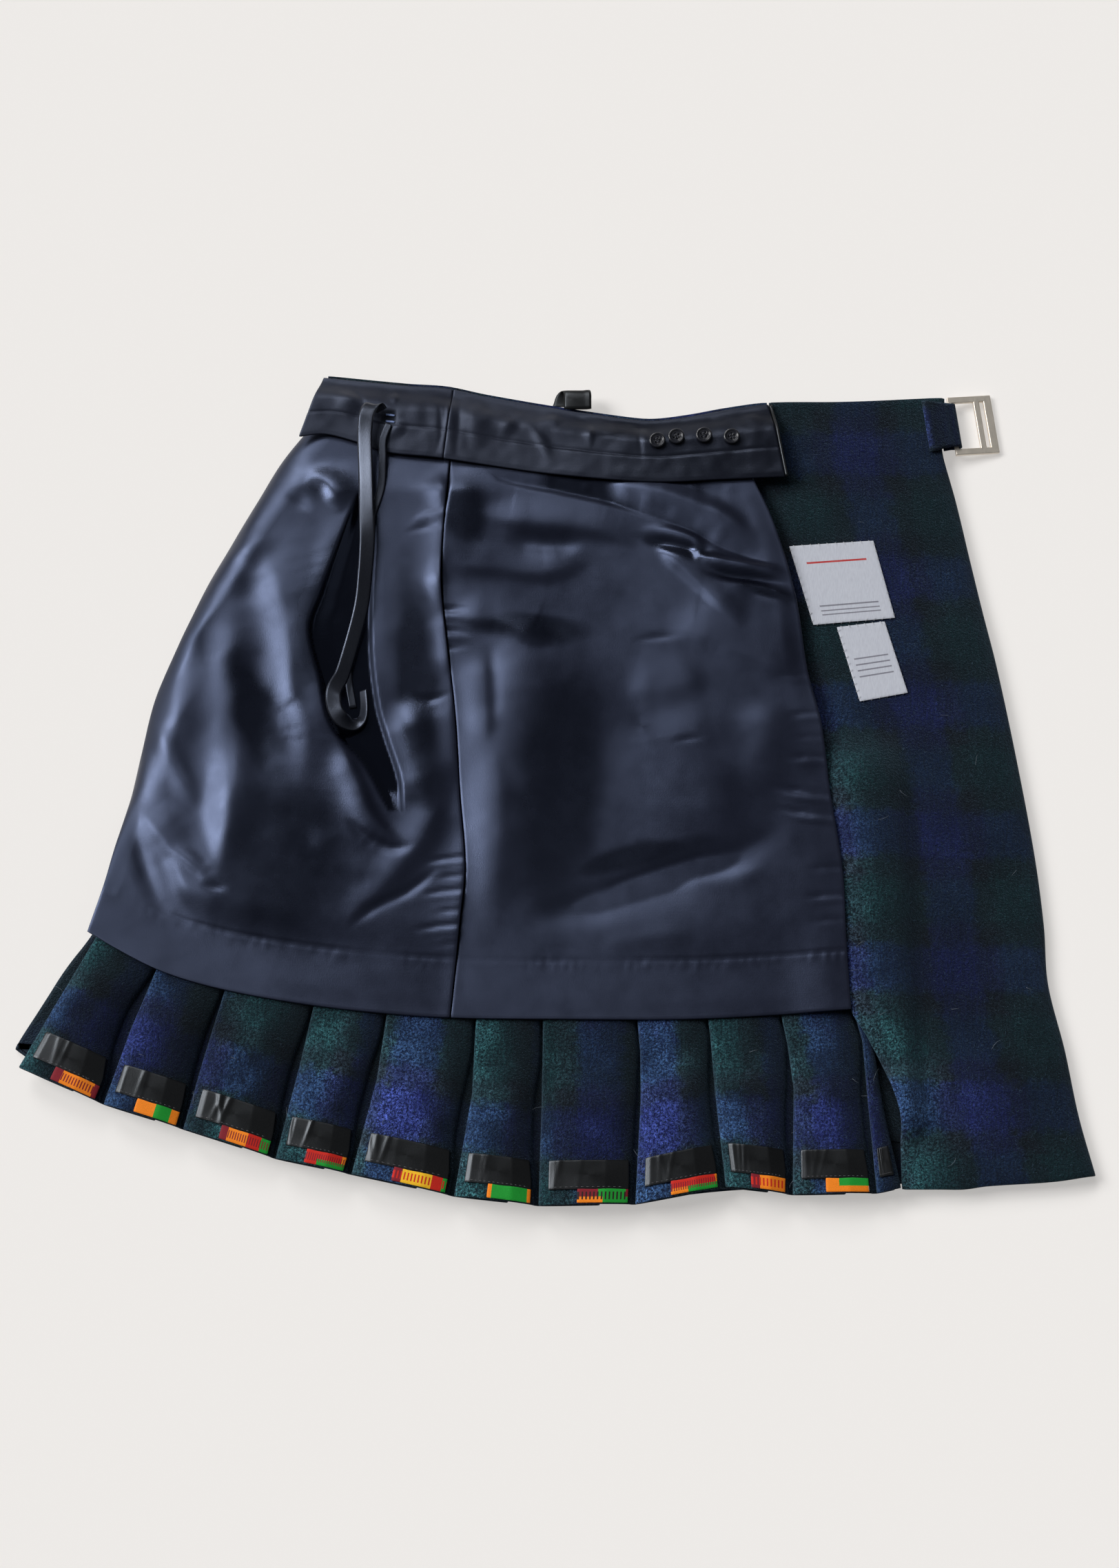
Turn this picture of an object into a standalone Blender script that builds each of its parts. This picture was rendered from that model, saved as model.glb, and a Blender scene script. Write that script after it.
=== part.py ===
"""A Scottish kilt laid flat with its inside up, as solids of real size.

The tables and sizes are in millimetres and the scene is in metres: MM turns one into the other.
+X runs along the waistband, +Y from the hem to the waist, +Z up from the surface it lies on.
"""
import math
from collections import namedtuple

import bpy
import bmesh
from mathutils import Matrix, Vector

MM = 0.001
GAP = 0.3

# Walls of the cloths, in millimetres
WOOL_WALL = 1.5
APRON_WALL = 2.0
LINING_WALL = 1.2
FACING_WALL = 1.5
WAIST_WALL = 1.6
TAPE_WALL = 0.8
RIBBON_WALL = 0.8
BELT_LOOP_WALL = 1.2
LABEL_WALL = 0.6

# Heights at which the layers rest
BACK_TOP = 9.0
BACK_INSET_RIGHT = 8.0
PLEAT_FLOOR = 10.1
LINING_REST = 17.4
LINING_UNDER_FACING = 18.7
LINING_OVER_APRON = 20.8
APRON_REST = 9.5
APRON_OVER_PLEATS = 17.8
OUTER_EDGE_REST = 4.0
WAIST_CORNER_REST = 8.0
WAIST_WOOL_REST = 9.35
FACING_EDGE = 12.0
FACING_LEVEL = 20.6

# How slack the lining is: its lift, and how far the hem, the top and the right edge hold it down
LINING_SLACK = 2.2
HEM_HOLD = 70.0
SLACK_TOP = 232.0
TOP_HOLD = 40.0
RIGHT_HOLD = 30.0
SLACK_AT_RIGHT = 0.35
LINING_BEND = 17.0
LEFT_EDGE_RISE = 55.0
APRON_BEND = 13.0

# Pleats
LAYER_STEP = 2.2
TIGHT_FOLD_RADIUS = 1.6
FREE_FOLD_RADIUS = 2.3
PRESSED_GAP = 3.4
HEM_GAP_SHARE = 0.35
OPENING_REACH = 40.0
PLEAT_TOP_DROP = 24.0
UPPER_RUN = 100.0
OUTER_FOLD_SHARE = 0.62
FACE_SHARES = (0.32, 0.66, 0.9)
FACE_SWELL = (0.8, 1.0, 0.6)
SHOULDER_DROP = 1.6
TAPE_LOW = 9.0
TAPE_HIGH = 27.0
TAPE_LEFT_SHARE = 0.1
TAPE_RIGHT_SHARE = 0.97
LAST_TAPE_SHARE = 0.8
PATCH_LOW = 0.4
PATCH_LEFT_SHARE = 0.42
LAP_DEPTH = 98.0

# Fastenings
BUTTON_RADIUS = 5.6
BUTTON_THICK = 2.4
BUTTON_DISH = 0.9
BUTTON_HOLE = 0.7
HOLE_REACH = 1.6
CUTTER_DEPTH = 8.0
RIBBON_WIDTH = 10.5
REAR_RIBBON_WIDTH = 7.0
BELT_LOOP_WIDTH = 19.0
BELT_LOOP_X = 12.5
PIPING_RADIUS = 1.0
PIPING_ASIDE = 1.9
PIPING_LIFT = 1.6
LABEL_LIFT = 0.5

Edge = namedtuple("Edge", "y x")
Line = namedtuple("Line", "x y")
Pleat = namedtuple("Pleat", "waist_x lap_x lap_y mid_x mid_y hem_x hem_y gap dome")
Fold = namedtuple("Fold", "x0 y0 x1 y1 half_width height")
Layer = namedtuple("Layer", "inset z")
Spot = namedtuple("Spot", "x y")
RibbonPoint = namedtuple("RibbonPoint", "x y lift turn")
LoopPoint = namedtuple("LoopPoint", "y z shift")
TabPoint = namedtuple("TabPoint", "along z")
Facing = namedtuple("Facing", "left_top left_low right_top right_low")

# The outline of the top edge of the waistband, left to right
WAIST_TOP = [
    Line(-163, 292), Line(-105, 286), Line(-78, 284), Line(-51, 278), Line(-8, 270), Line(42, 262),
    Line(64, 260), Line(89, 263), Line(115, 268), Line(144, 272), Line(206, 273), Line(266, 276)]

# The lower edge of the waistband facing
FACING_LOW = [
    Line(-178, 244), Line(-161, 246), Line(-138, 240), Line(-119, 233), Line(-86, 229), Line(-53, 224),
    Line(-6, 217), Line(32, 213), Line(69, 211), Line(113, 213), Line(154, 215)]

# The lining: its left edge, its seam, its right edge, its hem and its drooping top
LINING_LEFT = [
    Edge(256, -172), Edge(230, -191), Edge(201, -207), Edge(173, -222), Edge(139, -240), Edge(99, -257),
    Edge(61, -272), Edge(22, -280), Edge(-15, -287), Edge(-65, -298), Edge(-102, -309)]
LINING_SEAM = [
    Edge(240, -74), Edge(145, -80), Edge(91, -75), Edge(48, -70), Edge(-9, -66), Edge(-59, -62),
    Edge(-96, -65), Edge(-159, -71)]
LINING_RIGHT = [
    Edge(225, 127), Edge(183, 145), Edge(130, 159), Edge(76, 166), Edge(40, 174), Edge(-8, 179),
    Edge(-63, 186), Edge(-109, 187), Edge(-154, 189)]
LINING_HEM = [
    Line(-309, -102), Line(-291, -113), Line(-266, -126), Line(-241, -135), Line(-208, -143),
    Line(-167, -150), Line(-126, -155), Line(-71, -159), Line(4, -160), Line(82, -160), Line(143, -157),
    Line(189, -154)]
LINING_DROOP = [
    Line(-74, 230), Line(-54, 223), Line(-40, 211), Line(0, 201), Line(34, 193), Line(64, 181),
    Line(80, 184), Line(95, 203), Line(110, 219), Line(127, 222)]

# The apron: its right edge and hem, and the free end of its left edge
APRON_RIGHT = [
    Edge(276, 266), Edge(238, 263), Edge(205, 271), Edge(158, 280), Edge(122, 287), Edge(83, 295),
    Edge(16, 306), Edge(-49, 315), Edge(-96, 319), Edge(-135, 320), Edge(-179, 329), Edge(-222, 336),
    Edge(-260, 345)]
APRON_HEM = [
    Line(221, -269), Line(244, -269), Line(260, -269), Line(275, -267), Line(319, -264), Line(345, -260)]
APRON_TOP_LEFT = 147.5
APRON_FREE = [
    Edge(-125, 180), Edge(-147, 189), Edge(-158, 192), Edge(-173, 201), Edge(-199, 213), Edge(-222, 220),
    Edge(-242, 221), Edge(-269, 221)]

APRON_FOLDS = [
    Fold(222, -190, 244, -232, 11.0, 4.5),
    Fold(262, 150, 285, -80, 16.0, 1.6),
    Fold(236, 40, 262, -120, 14.0, 1.8),
    Fold(300, -90, 322, -230, 12.0, 1.4)]

# The folded layers underneath: their own outline, a little inside the cloth above
BACK_LEFT = [
    Edge(288, -162), Edge(240, -168), Edge(200, -197), Edge(139, -230), Edge(61, -263), Edge(-15, -278),
    Edge(-50, -286), Edge(-75, -295), Edge(-102, -310), Edge(-123, -326), Edge(-146, -339), Edge(-176, -357)]
BACK_HEM = [
    Line(-356, -179), Line(-325, -198), Line(-291, -212), Line(-248, -226), Line(-189, -246),
    Line(-141, -258), Line(-76, -270), Line(-15, -276), Line(46, -278), Line(104, -270), Line(160, -268),
    Line(221, -266), Line(275, -263), Line(336, -256)]
BACK_LAYERS = [
    Layer(3.0, 0.0), Layer(0.9, 0.7), Layer(0.5, 1.8), Layer(1.6, 3.0), Layer(3.0, 3.4), Layer(1.8, 4.2),
    Layer(1.6, 5.2), Layer(2.8, 6.3), Layer(3.8, 6.7), Layer(3.0, 7.7), Layer(5.0, BACK_TOP)]

# One row for each pleat, left to right: where its left fold lies at the waist, below the lining's hem,
# midway and at the kilt's hem, the gap on its right midway, and how far its face swells
PLEATS = [
    Pleat(-150, -304, -106, -329, -152, -350, -191, 9.0, 3.0),
    Pleat(-133, -263, -126, -279, -168, -294, -215, 6.0, 3.0),
    Pleat(-108, -219, -144, -230, -184, -242, -231, 7.0, 2.6),
    Pleat(-83, -160, -152, -168, -190, -182, -250, 8.0, 3.0),
    Pleat(-58, -112, -156, -118, -200, -133, -260, 8.0, 3.2),
    Pleat(-33, -54, -160, -56, -208, -67, -274, 7.0, 3.0),
    Pleat(-8, -10, -160, -11, -212, -13, -280, 5.0, 2.4),
    Pleat(17, 53, -162, 53, -212, 49, -279, 6.0, 2.8),
    Pleat(42, 98, -160, 101, -207, 107, -268, 7.0, 3.0),
    Pleat(67, 147, -161, 152, -205, 150, -273, 6.0, 1.6),
    Pleat(92, 197, -166, 200, -215, 204, -272, 4.0, 0.0)]
PLEATS_END = Pleat(114, 206, -172, 213, -219, 222, -268, 4.0, 0.0)

# The lining's main folds: a soft ridge, or a trough below nought, along each line
FOLDS = [
    Fold(-205, 110, -185, 10, 46.0, 7.0),
    Fold(-195, 138, -172, 40, 10.0, 4.0),
    Fold(-172, 40, -176, 0, 10.0, 4.0),
    Fold(-214, 120, -205, 0, 10.0, -4.0),
    Fold(-277, -24, -242, -100, 9.0, 3.5),
    Fold(-255, -15, -225, -90, 8.0, -2.5),
    Fold(-114, 200, -113, 60, 9.0, 6.0),
    Fold(-112, 50, -97, -25, 7.0, 6.0),
    Fold(-150, -92, -111, -55, 8.0, 4.0),
    Fold(-111, -55, -92, -40, 8.0, 4.0),
    Fold(-130, -70, -112, -29, 7.0, -3.0),
    Fold(-180, 212, -205, 170, 8.0, 3.0),
    Fold(-98, 150, -82, 172, 6.0, 2.5),
    Fold(-90, -60, -84, -130, 9.0, 2.5),
    Fold(80, 70, 100, 0, 60.0, 6.5),
    Fold(-79, 146, -12, 134, 7.0, -3.0),
    Fold(-60, 170, 10, 165, 18.0, 4.0),
    Fold(41, 207, 138, 163, 9.0, 5.0),
    Fold(56, 178, 95, 158, 8.0, 4.0),
    Fold(95, 158, 148, 137, 8.0, 4.0),
    Fold(60, 150, 130, 118, 9.0, -3.0),
    Fold(-30, 80, 5, -75, 24.0, -4.5),
    Fold(48, 90, 60, -40, 12.0, 2.5),
    Fold(29, -76, 83, -50, 7.0, 3.5),
    Fold(101, -54, 156, -24, 7.0, 3.5),
    Fold(-50, 40, -46, -70, 9.0, 2.5),
    Fold(150, 40, 176, 30, 5.0, 2.0),
    Fold(156, 14, 180, 4, 5.0, 2.0),
    Fold(160, -16, 184, -24, 5.0, 2.0),
    Fold(162, -60, 186, -66, 5.0, 2.0)]

# The deep fold that opens beside the seam: its left and right rim
OPENING_LEFT = [
    Edge(205, -138), Edge(173, -148), Edge(130, -161), Edge(105, -168), Edge(70, -160), Edge(35, -151),
    Edge(10, -130), Edge(-24, -112)]
OPENING_RIGHT = [
    Edge(205, -132), Edge(184, -126), Edge(131, -127), Edge(86, -126), Edge(50, -121), Edge(29, -115),
    Edge(0, -106), Edge(-24, -104)]
OPENING_SOFT = 7.0

BUTTONS = [Spot(67, 240), Spot(80, 243), Spot(99, 244), Spot(118, 243)]

# The hanging ribbon's route, with its lift above the lining and how far it stands on edge, in degrees
RIBBON = [
    RibbonPoint(-114, 260, 0.8, 0), RibbonPoint(-120, 266, 5.0, 0), RibbonPoint(-128, 264, 9.5, 0),
    RibbonPoint(-132, 255, 9.5, 0), RibbonPoint(-133, 240, 8.0, 0), RibbonPoint(-132, 215, 7.5, 0),
    RibbonPoint(-131, 190, 8.0, 0), RibbonPoint(-130, 165, 7.5, 0), RibbonPoint(-131, 140, 8.0, 10),
    RibbonPoint(-133, 118, 8.0, 20), RibbonPoint(-139, 94, 7.5, 30), RibbonPoint(-145, 72, 7.0, 30),
    RibbonPoint(-149, 56, 6.5, 20), RibbonPoint(-150, 44, 6.0, 10), RibbonPoint(-147, 34, 5.0, 0),
    RibbonPoint(-141, 29, 3.5, 0), RibbonPoint(-134, 31, 2.0, 0), RibbonPoint(-131, 40, 1.4, 0)]
RIBBON_REAR = [
    RibbonPoint(-117, 252, 0.8, 0), RibbonPoint(-121, 240, 1.4, 0), RibbonPoint(-121, 225, 2.4, 0),
    RibbonPoint(-121, 205, 1.4, 0), RibbonPoint(-127, 180, 1.2, 0), RibbonPoint(-133, 150, 1.0, 0),
    RibbonPoint(-138, 110, 1.0, 0), RibbonPoint(-138, 78, 1.0, 0), RibbonPoint(-133, 50, 1.0, 0)]

# The folded tape above the waistband: from its near strand, over the fold, to its far strand
BELT_LOOP = [
    LoopPoint(266.8, 13.9, 0.0), LoopPoint(273.0, 14.1, 0.0), LoopPoint(278.5, 13.9, 0.0),
    LoopPoint(281.4, 12.2, -0.5), LoopPoint(281.6, 9.2, -1.5), LoopPoint(279.0, 7.4, -3.5),
    LoopPoint(273.0, 7.0, -7.0), LoopPoint(271.4, 7.4, -9.0)]

# The two lengths of the facing: where each ends at its top and its lower edge
FACING_LEFT = Facing(-163.0, -178.0, -74.0, -80.0)
FACING_RIGHT = Facing(-73.6, -79.6, 144.0, 153.4)
PIPING_TOP = Spot(144.0, 270.0)
PIPING_LOW = Spot(153.4, 214.5)
WAIST_WOOL_LEFT = -160.0
WAIST_WOOL_RIGHT = 143.0
WAIST_WOOL_TUCK = 19.0
WAIST_WOOL_PROUD = 0.6

LABEL_LARGE = [Spot(172, 111), Spot(227, 116), Spot(157, 167), Spot(214, 171)]
LABEL_SMALL = [Spot(202, 57), Spot(234, 63), Spot(188, 109), Spot(220, 113)]

# The slide buckle, in its own frame: the bar in the loop lies along Y through its origin
BUCKLE_AT = Vector((272.5, 257.0, 6.2))
BUCKLE_TURN = math.radians(7.0)
BUCKLE_LEAN = math.radians(8.6)
BUCKLE_HALF_HEIGHT = 21.5
BUCKLE_RAIL = 4.5
BUCKLE_REACH = 30.0
BUCKLE_THICK = 2.8
BAR_RADIUS = 1.3
MIDDLE_BAR_AT = 19.2
MIDDLE_BAR_WIDTH = 4.2
OUTER_RAIL_WIDTH = 5.6
STRAP_WALL = 1.6
STRAP_HALF_HEIGHT = 15.8
STRAP_ROOT = -20.0
STRAP_EYE_RADIUS = 2.4
STRAP_FLARE = 3.0
STRAP_TAIL_TOP = [
    TabPoint(STRAP_ROOT, 7.6), TabPoint(-14.0, 7.5), TabPoint(-8.0, 7.0), TabPoint(-4.2, 6.1)]
STRAP_TAIL_LOW = [
    TabPoint(-4.2, 4.6), TabPoint(-8.0, 5.5), TabPoint(-14.0, 5.9), TabPoint(STRAP_ROOT, 6.0)]
STRAP_UNDER_TAIL = [
    TabPoint(-5.0, -2.9), TabPoint(-9.0, -1.8), TabPoint(-9.0, -0.2), TabPoint(-5.0, -1.3)]


def material(name, colour, roughness, metallic=0.0):
    """Make one plain finish."""
    finish = bpy.data.materials.new(name)
    finish.use_nodes = True
    shader = finish.node_tree.nodes["Principled BSDF"]
    shader.inputs["Base Color"].default_value = (*colour, 1.0)
    shader.inputs["Roughness"].default_value = roughness
    shader.inputs["Metallic"].default_value = metallic
    return finish


def start_scene():
    """Clear the scene and make the collection and the empty that carries the kilt."""
    for old in list(bpy.data.objects):
        bpy.data.objects.remove(old, do_unlink=True)
    parts = bpy.data.collections.new("kilt")
    cutters = bpy.data.collections.new("kilt_cutters")
    bpy.context.scene.collection.children.link(parts)
    bpy.context.scene.collection.children.link(cutters)
    root = bpy.data.objects.new("kilt_origin", None)
    parts.objects.link(root)
    return parts, cutters, root


PARTS, CUTTERS, ROOT = start_scene()


def add_piece(name, mesh, finish, smooth=True):
    """Put a mesh in the kilt's collection under its own name."""
    piece = bpy.data.objects.new(name, mesh)
    PARTS.objects.link(piece)
    piece.parent = ROOT
    mesh.materials.append(finish)
    if smooth:
        mesh.shade_smooth()
    return piece


def ease(t):
    """Rise smoothly from nought to one."""
    t = min(max(t, 0.0), 1.0)
    return t * t * (3.0 - 2.0 * t)


def blend(a, b, t):
    """Mix two numbers or vectors."""
    return a + (b - a) * t


def read_curve(rows, key, value, at):
    """Read one column of a table on a smooth curve through its rows."""
    keys = [getattr(row, key) for row in rows]
    values = [getattr(row, value) for row in rows]
    if keys[0] > keys[-1]:
        keys.reverse()
        values.reverse()
    if at <= keys[0]:
        return values[0]
    if at >= keys[-1]:
        return values[-1]
    k = max(i for i in range(len(keys) - 1) if keys[i] <= at)
    span = keys[k + 1] - keys[k]
    t = (at - keys[k]) / span

    def slope(i):
        low = max(i - 1, 0)
        high = min(i + 1, len(keys) - 1)
        return (values[high] - values[low]) / (keys[high] - keys[low])

    rise = values[k + 1] - values[k]
    start = slope(k) * span
    end = slope(k + 1) * span
    return values[k] + start * t + (3 * rise - 2 * start - end) * t * t + (start + end - 2 * rise) * t ** 3


def edge_x(rows, y):
    """Where an upright edge lies at a height on the table."""
    return read_curve(rows, "y", "x", y)


def line_y(rows, x):
    """Where a level edge lies at a place along the table."""
    return read_curve(rows, "x", "y", x)


def cloth(name, columns, rows, point, wall, finish, growth=1.0):
    """Make a wall of cloth: a grid moved to its points, thickened upward or both ways."""
    bm = bmesh.new()
    bmesh.ops.create_grid(bm, x_segments=columns, y_segments=rows, size=0.5)
    for vert in bm.verts:
        vert.co = point(vert.co.x + 0.5, vert.co.y + 0.5) * MM
    mesh = bpy.data.meshes.new(name)
    bm.to_mesh(mesh)
    bm.free()
    piece = add_piece(name, mesh, finish)
    thick = piece.modifiers.new("wall", "SOLIDIFY")
    thick.thickness = wall * MM
    thick.offset = growth
    return piece


def loft(name, sections, finish, closed=False):
    """Join closed sections of the same number of points, and cap the ends or close the ring."""
    bm = bmesh.new()
    rings = [[bm.verts.new(point * MM) for point in section] for section in sections]
    pairs = list(zip(rings, rings[1:]))
    if closed:
        pairs.append((rings[-1], rings[0]))
    count = len(rings[0])
    for low, high in pairs:
        for i in range(count):
            j = (i + 1) % count
            bm.faces.new((low[i], low[j], high[j], high[i]))
    if not closed:
        bm.faces.new(list(reversed(rings[0])))
        bm.faces.new(rings[-1])
    bmesh.ops.recalc_face_normals(bm, faces=bm.faces)
    mesh = bpy.data.meshes.new(name)
    bm.to_mesh(mesh)
    bm.free()
    return add_piece(name, mesh, finish)


def fold_height(x, y, fold):
    """The height that one soft fold adds at a place."""
    along = Vector((fold.x1 - fold.x0, fold.y1 - fold.y0))
    offset = Vector((x - fold.x0, y - fold.y0))
    t = min(max(offset.dot(along) / along.length_squared, 0.0), 1.0)
    distance = (offset - along * t).length / fold.half_width
    return fold.height * math.exp(-distance * distance)


def opening_share(x, y):
    """One inside the deep fold beside the seam, nought outside it."""
    if y > OPENING_LEFT[0].y or y < OPENING_LEFT[-1].y:
        return 0.0
    left = edge_x(OPENING_LEFT, y)
    right = edge_x(OPENING_RIGHT, y)
    end = min(OPENING_LEFT[0].y - y, y - OPENING_LEFT[-1].y)
    return ease((x - left) / OPENING_SOFT) * ease((right - x) / OPENING_SOFT) * ease(end / 14.0)


def rounded(distance, reach):
    """Rise from nought to one as a rounded edge does."""
    bend = min(max(distance / reach, 0.0), 1.0)
    return math.sqrt(max(1.0 - (1.0 - bend) ** 2, 0.0))


def lining_height(x, y):
    """The underside of the lining: slack cloth over the pleats, with its folds."""
    from_left = x - edge_x(LINING_LEFT, y)
    from_right = edge_x(LINING_RIGHT, y) - x
    to_hem = y - line_y(LINING_HEM, x)
    edge_rest = blend(OUTER_EDGE_REST, LINING_REST, ease(-y / LEFT_EDGE_RISE))
    slack = ease(to_hem / HEM_HOLD) * ease((SLACK_TOP - y) / TOP_HOLD)
    slack *= blend(SLACK_AT_RIGHT, 1.0, ease(from_right / RIGHT_HOLD))
    level = LINING_REST + LINING_SLACK * slack
    level += slack * sum(fold_height(x, y, fold) for fold in FOLDS)
    level = max(level, LINING_REST)
    level = blend(level, LINING_REST, opening_share(x, y))
    over_apron = ease((16.0 - from_right) / 8.0) * ease((80.0 - y) / 40.0)
    level = blend(level, max(level, LINING_OVER_APRON), over_apron)
    under_facing = ease((y - line_y(FACING_LOW, x) + 6.0) / 6.0)
    level = blend(level, LINING_UNDER_FACING, under_facing)
    return edge_rest + (level - edge_rest) * rounded(from_left, LINING_BEND)


def lining_left_point(u, v):
    """A point of the left lining panel; u runs to the seam and v up to the waist."""
    hem_x = blend(LINING_LEFT[-1].x, LINING_SEAM[-1].x - GAP, u)
    top_x = blend(LINING_LEFT[0].x, LINING_SEAM[0].x - GAP, u)
    low = line_y(LINING_HEM, hem_x)
    high = line_y(FACING_LOW, top_x) + 7.0
    y = blend(low, high, v)
    x = blend(edge_x(LINING_LEFT, y), edge_x(LINING_SEAM, y) - GAP, u)
    return Vector((x, y, lining_height(x, y)))


def lining_right_point(u, v):
    """A point of the right lining panel; its top droops below the waistband."""
    hem_x = blend(LINING_SEAM[-1].x + GAP, LINING_RIGHT[-1].x, u)
    top_x = blend(LINING_SEAM[0].x + GAP, LINING_RIGHT[0].x, u)
    low = line_y(LINING_HEM, hem_x)
    high = line_y(LINING_DROOP, top_x)
    y = blend(low, high, v)
    x = blend(edge_x(LINING_SEAM, y) + GAP, edge_x(LINING_RIGHT, y), u)
    return Vector((x, y, lining_height(x, y)))


def facing_height(x, share):
    """The underside of the facing, from its top edge (0) to its lower edge (1)."""
    rise = ease(share / 0.42)
    wave = 0.5 * math.sin(x / 17.0) * ease((share - 0.1) / 0.2) * ease((40.0 - x) / 30.0)
    return blend(FACING_EDGE, FACING_LEVEL, rise) + wave


def facing_point(ends):
    """Make the point function of one length of the waistband facing."""
    def point(u, v):
        share = 1.0 - v
        top_x = blend(ends.left_top, ends.right_top, u)
        low_x = blend(ends.left_low, ends.right_low, u)
        x = blend(top_x, low_x, share)
        y = blend(line_y(WAIST_TOP, top_x) - 2.0, line_y(FACING_LOW, low_x), share)
        return Vector((x, y, facing_height(x, share)))
    return point


def facing_top_at(x, y):
    """The upper face of the facing at a place."""
    top = line_y(WAIST_TOP, x) - 2.0
    low = line_y(FACING_LOW, x)
    return facing_height(x, (top - y) / (top - low)) + FACING_WALL


def apron_left(y):
    """The apron's left edge: under the lining, and free below its hem."""
    beside_facing = 154.5 + (215.0 - y) * 0.155
    under_lining = edge_x(LINING_RIGHT, y) - 8.0
    free = edge_x(APRON_FREE, y)
    x = blend(under_lining, free, ease((-118.0 - y) / 24.0))
    return blend(x, beside_facing, ease((y - 226.0) / 10.0))


def apron_height(x, y):
    """The underside of the apron: on the folded back, and over the last pleat."""
    over = ease((240.0 - x) / 20.0) * ease((40.0 - y) / 40.0) * ease((y + 246.0) / 26.0)
    level = blend(APRON_REST, APRON_OVER_PLEATS, over)
    level += sum(fold_height(x, y, fold) for fold in APRON_FOLDS)
    edge_rest = blend(OUTER_EDGE_REST, WAIST_CORNER_REST, ease((y - 205.0) / 25.0))
    return edge_rest + (level - edge_rest) * rounded(edge_x(APRON_RIGHT, y) - x, APRON_BEND)


def apron_point(u, v):
    """A point of the apron; u runs to its right edge and v up to the waist."""
    hem_x = blend(APRON_HEM[0].x, APRON_HEM[-1].x, u)
    top_x = blend(APRON_TOP_LEFT, WAIST_TOP[-1].x, u)
    y = blend(line_y(APRON_HEM, hem_x), line_y(WAIST_TOP, top_x), v)
    x = blend(apron_left(y), edge_x(APRON_RIGHT, y), u)
    return Vector((x, y, apron_height(x, y)))


def fold_line(pleat, depth):
    """The place of a pleat's left fold, at a distance up from the hem."""
    hem = Vector((pleat.hem_x, pleat.hem_y))
    mid = Vector((pleat.mid_x, pleat.mid_y))
    lap = Vector((pleat.lap_x, pleat.lap_y))
    low = (mid - hem).length
    if depth <= low:
        return hem.lerp(mid, depth / low)
    high = (lap - mid).length
    return mid.lerp(lap, (depth - low) / high)


def station_line(pleat, station):
    """The place of a left fold at a station: a depth up to the lap, then a share of the rest."""
    if station <= LAP_DEPTH:
        return fold_line(pleat, station)
    waist = Vector((pleat.waist_x, line_y(WAIST_TOP, pleat.waist_x) - PLEAT_TOP_DROP))
    return fold_line(pleat, LAP_DEPTH).lerp(waist, (station - LAP_DEPTH) / UPPER_RUN)


STATIONS = [0.0, TAPE_LOW, TAPE_HIGH, 50.0, 74.0, LAP_DEPTH, LAP_DEPTH + 35.0, LAP_DEPTH + UPPER_RUN]
PLEAT_ENDS = PLEATS[1:] + [PLEATS_END]


def pleat_frame(index, station):
    """A pleat's fold, direction, pitch and face width at a station."""
    pleat = PLEATS[index]
    start = station_line(pleat, station)
    end = station_line(PLEAT_ENDS[index], station)
    along = (end - start).normalized()
    pitch = (end - start).length
    open_share = ease(station / OPENING_REACH) * ease((LAP_DEPTH - station) / OPENING_REACH)
    hem_share = HEM_GAP_SHARE * ease((OPENING_REACH - station) / OPENING_REACH)
    gap = blend(PRESSED_GAP, pleat.gap, max(open_share, hem_share))
    return start, along, pitch, pitch - gap


def face_profile(index, station, width):
    """The top of a pleat's face: distance from its left fold, and height of the cloth's middle."""
    pleat = PLEATS[index]
    free = ease((LAP_DEPTH - station) / OPENING_REACH)
    radius = blend(TIGHT_FOLD_RADIUS, FREE_FOLD_RADIUS, free) if pleat.dome else TIGHT_FOLD_RADIUS
    swell = pleat.dome * free
    top = PLEAT_FLOOR + LAYER_STEP + 2.0 * radius
    profile = [(radius, top)]
    profile += [(share * width, top + rise * swell) for share, rise in zip(FACE_SHARES, FACE_SWELL)]
    profile.append((width, top - SHOULDER_DROP))
    return radius, profile


def pleat_section(index, station):
    """One pleat's section, from the gap on its left to the shoulder on its right."""
    start, along, pitch, width = pleat_frame(index, station)
    turn = OUTER_FOLD_SHARE * pitch
    middle = PLEAT_FLOOR + LAYER_STEP
    half_step = 0.5 * LAYER_STEP
    radius, face = face_profile(index, station, width)
    profile = [(1.0, PLEAT_FLOOR), (turn - half_step, PLEAT_FLOOR), (turn, PLEAT_FLOOR + half_step)]
    profile += [(turn - half_step, middle), (radius, middle)]
    for angle in (210.0, 150.0):
        swing = math.radians(angle)
        profile.append((radius + radius * math.cos(swing), middle + radius + radius * math.sin(swing)))
    profile += face
    if index < len(PLEATS) - 1:
        profile.append((width + 0.8, PLEAT_FLOOR + 1.4))
    return [Vector((*(start + along * a), z)) for a, z in profile]


def make_pleats(finish):
    """All the pleats as one wall of wool, from the hem to the waist."""
    rows = [sum((pleat_section(i, station) for i in range(len(PLEATS))), []) for station in STATIONS]
    columns = len(rows[0]) - 1
    levels = len(rows) - 1

    def point(u, v):
        return rows[round(v * levels)][round(u * columns)]
    return cloth("pleats", columns, levels, point, WOOL_WALL, finish, growth=0.0)


def face_point(index, depth, share, lift):
    """A point on a pleat's face at a share of its width, moved out by a lift."""
    start, along, pitch, width = pleat_frame(index, depth)
    radius, face = face_profile(index, depth, width)
    spot = min(max(share * width, face[0][0]), face[-1][0])
    for (a0, z0), (a1, z1) in zip(face, face[1:]):
        if spot <= a1:
            z = blend(z0, z1, (spot - a0) / (a1 - a0))
            break
    place = start + along * spot
    return Vector((place.x, place.y, z + 0.5 * WOOL_WALL + lift))


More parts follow.
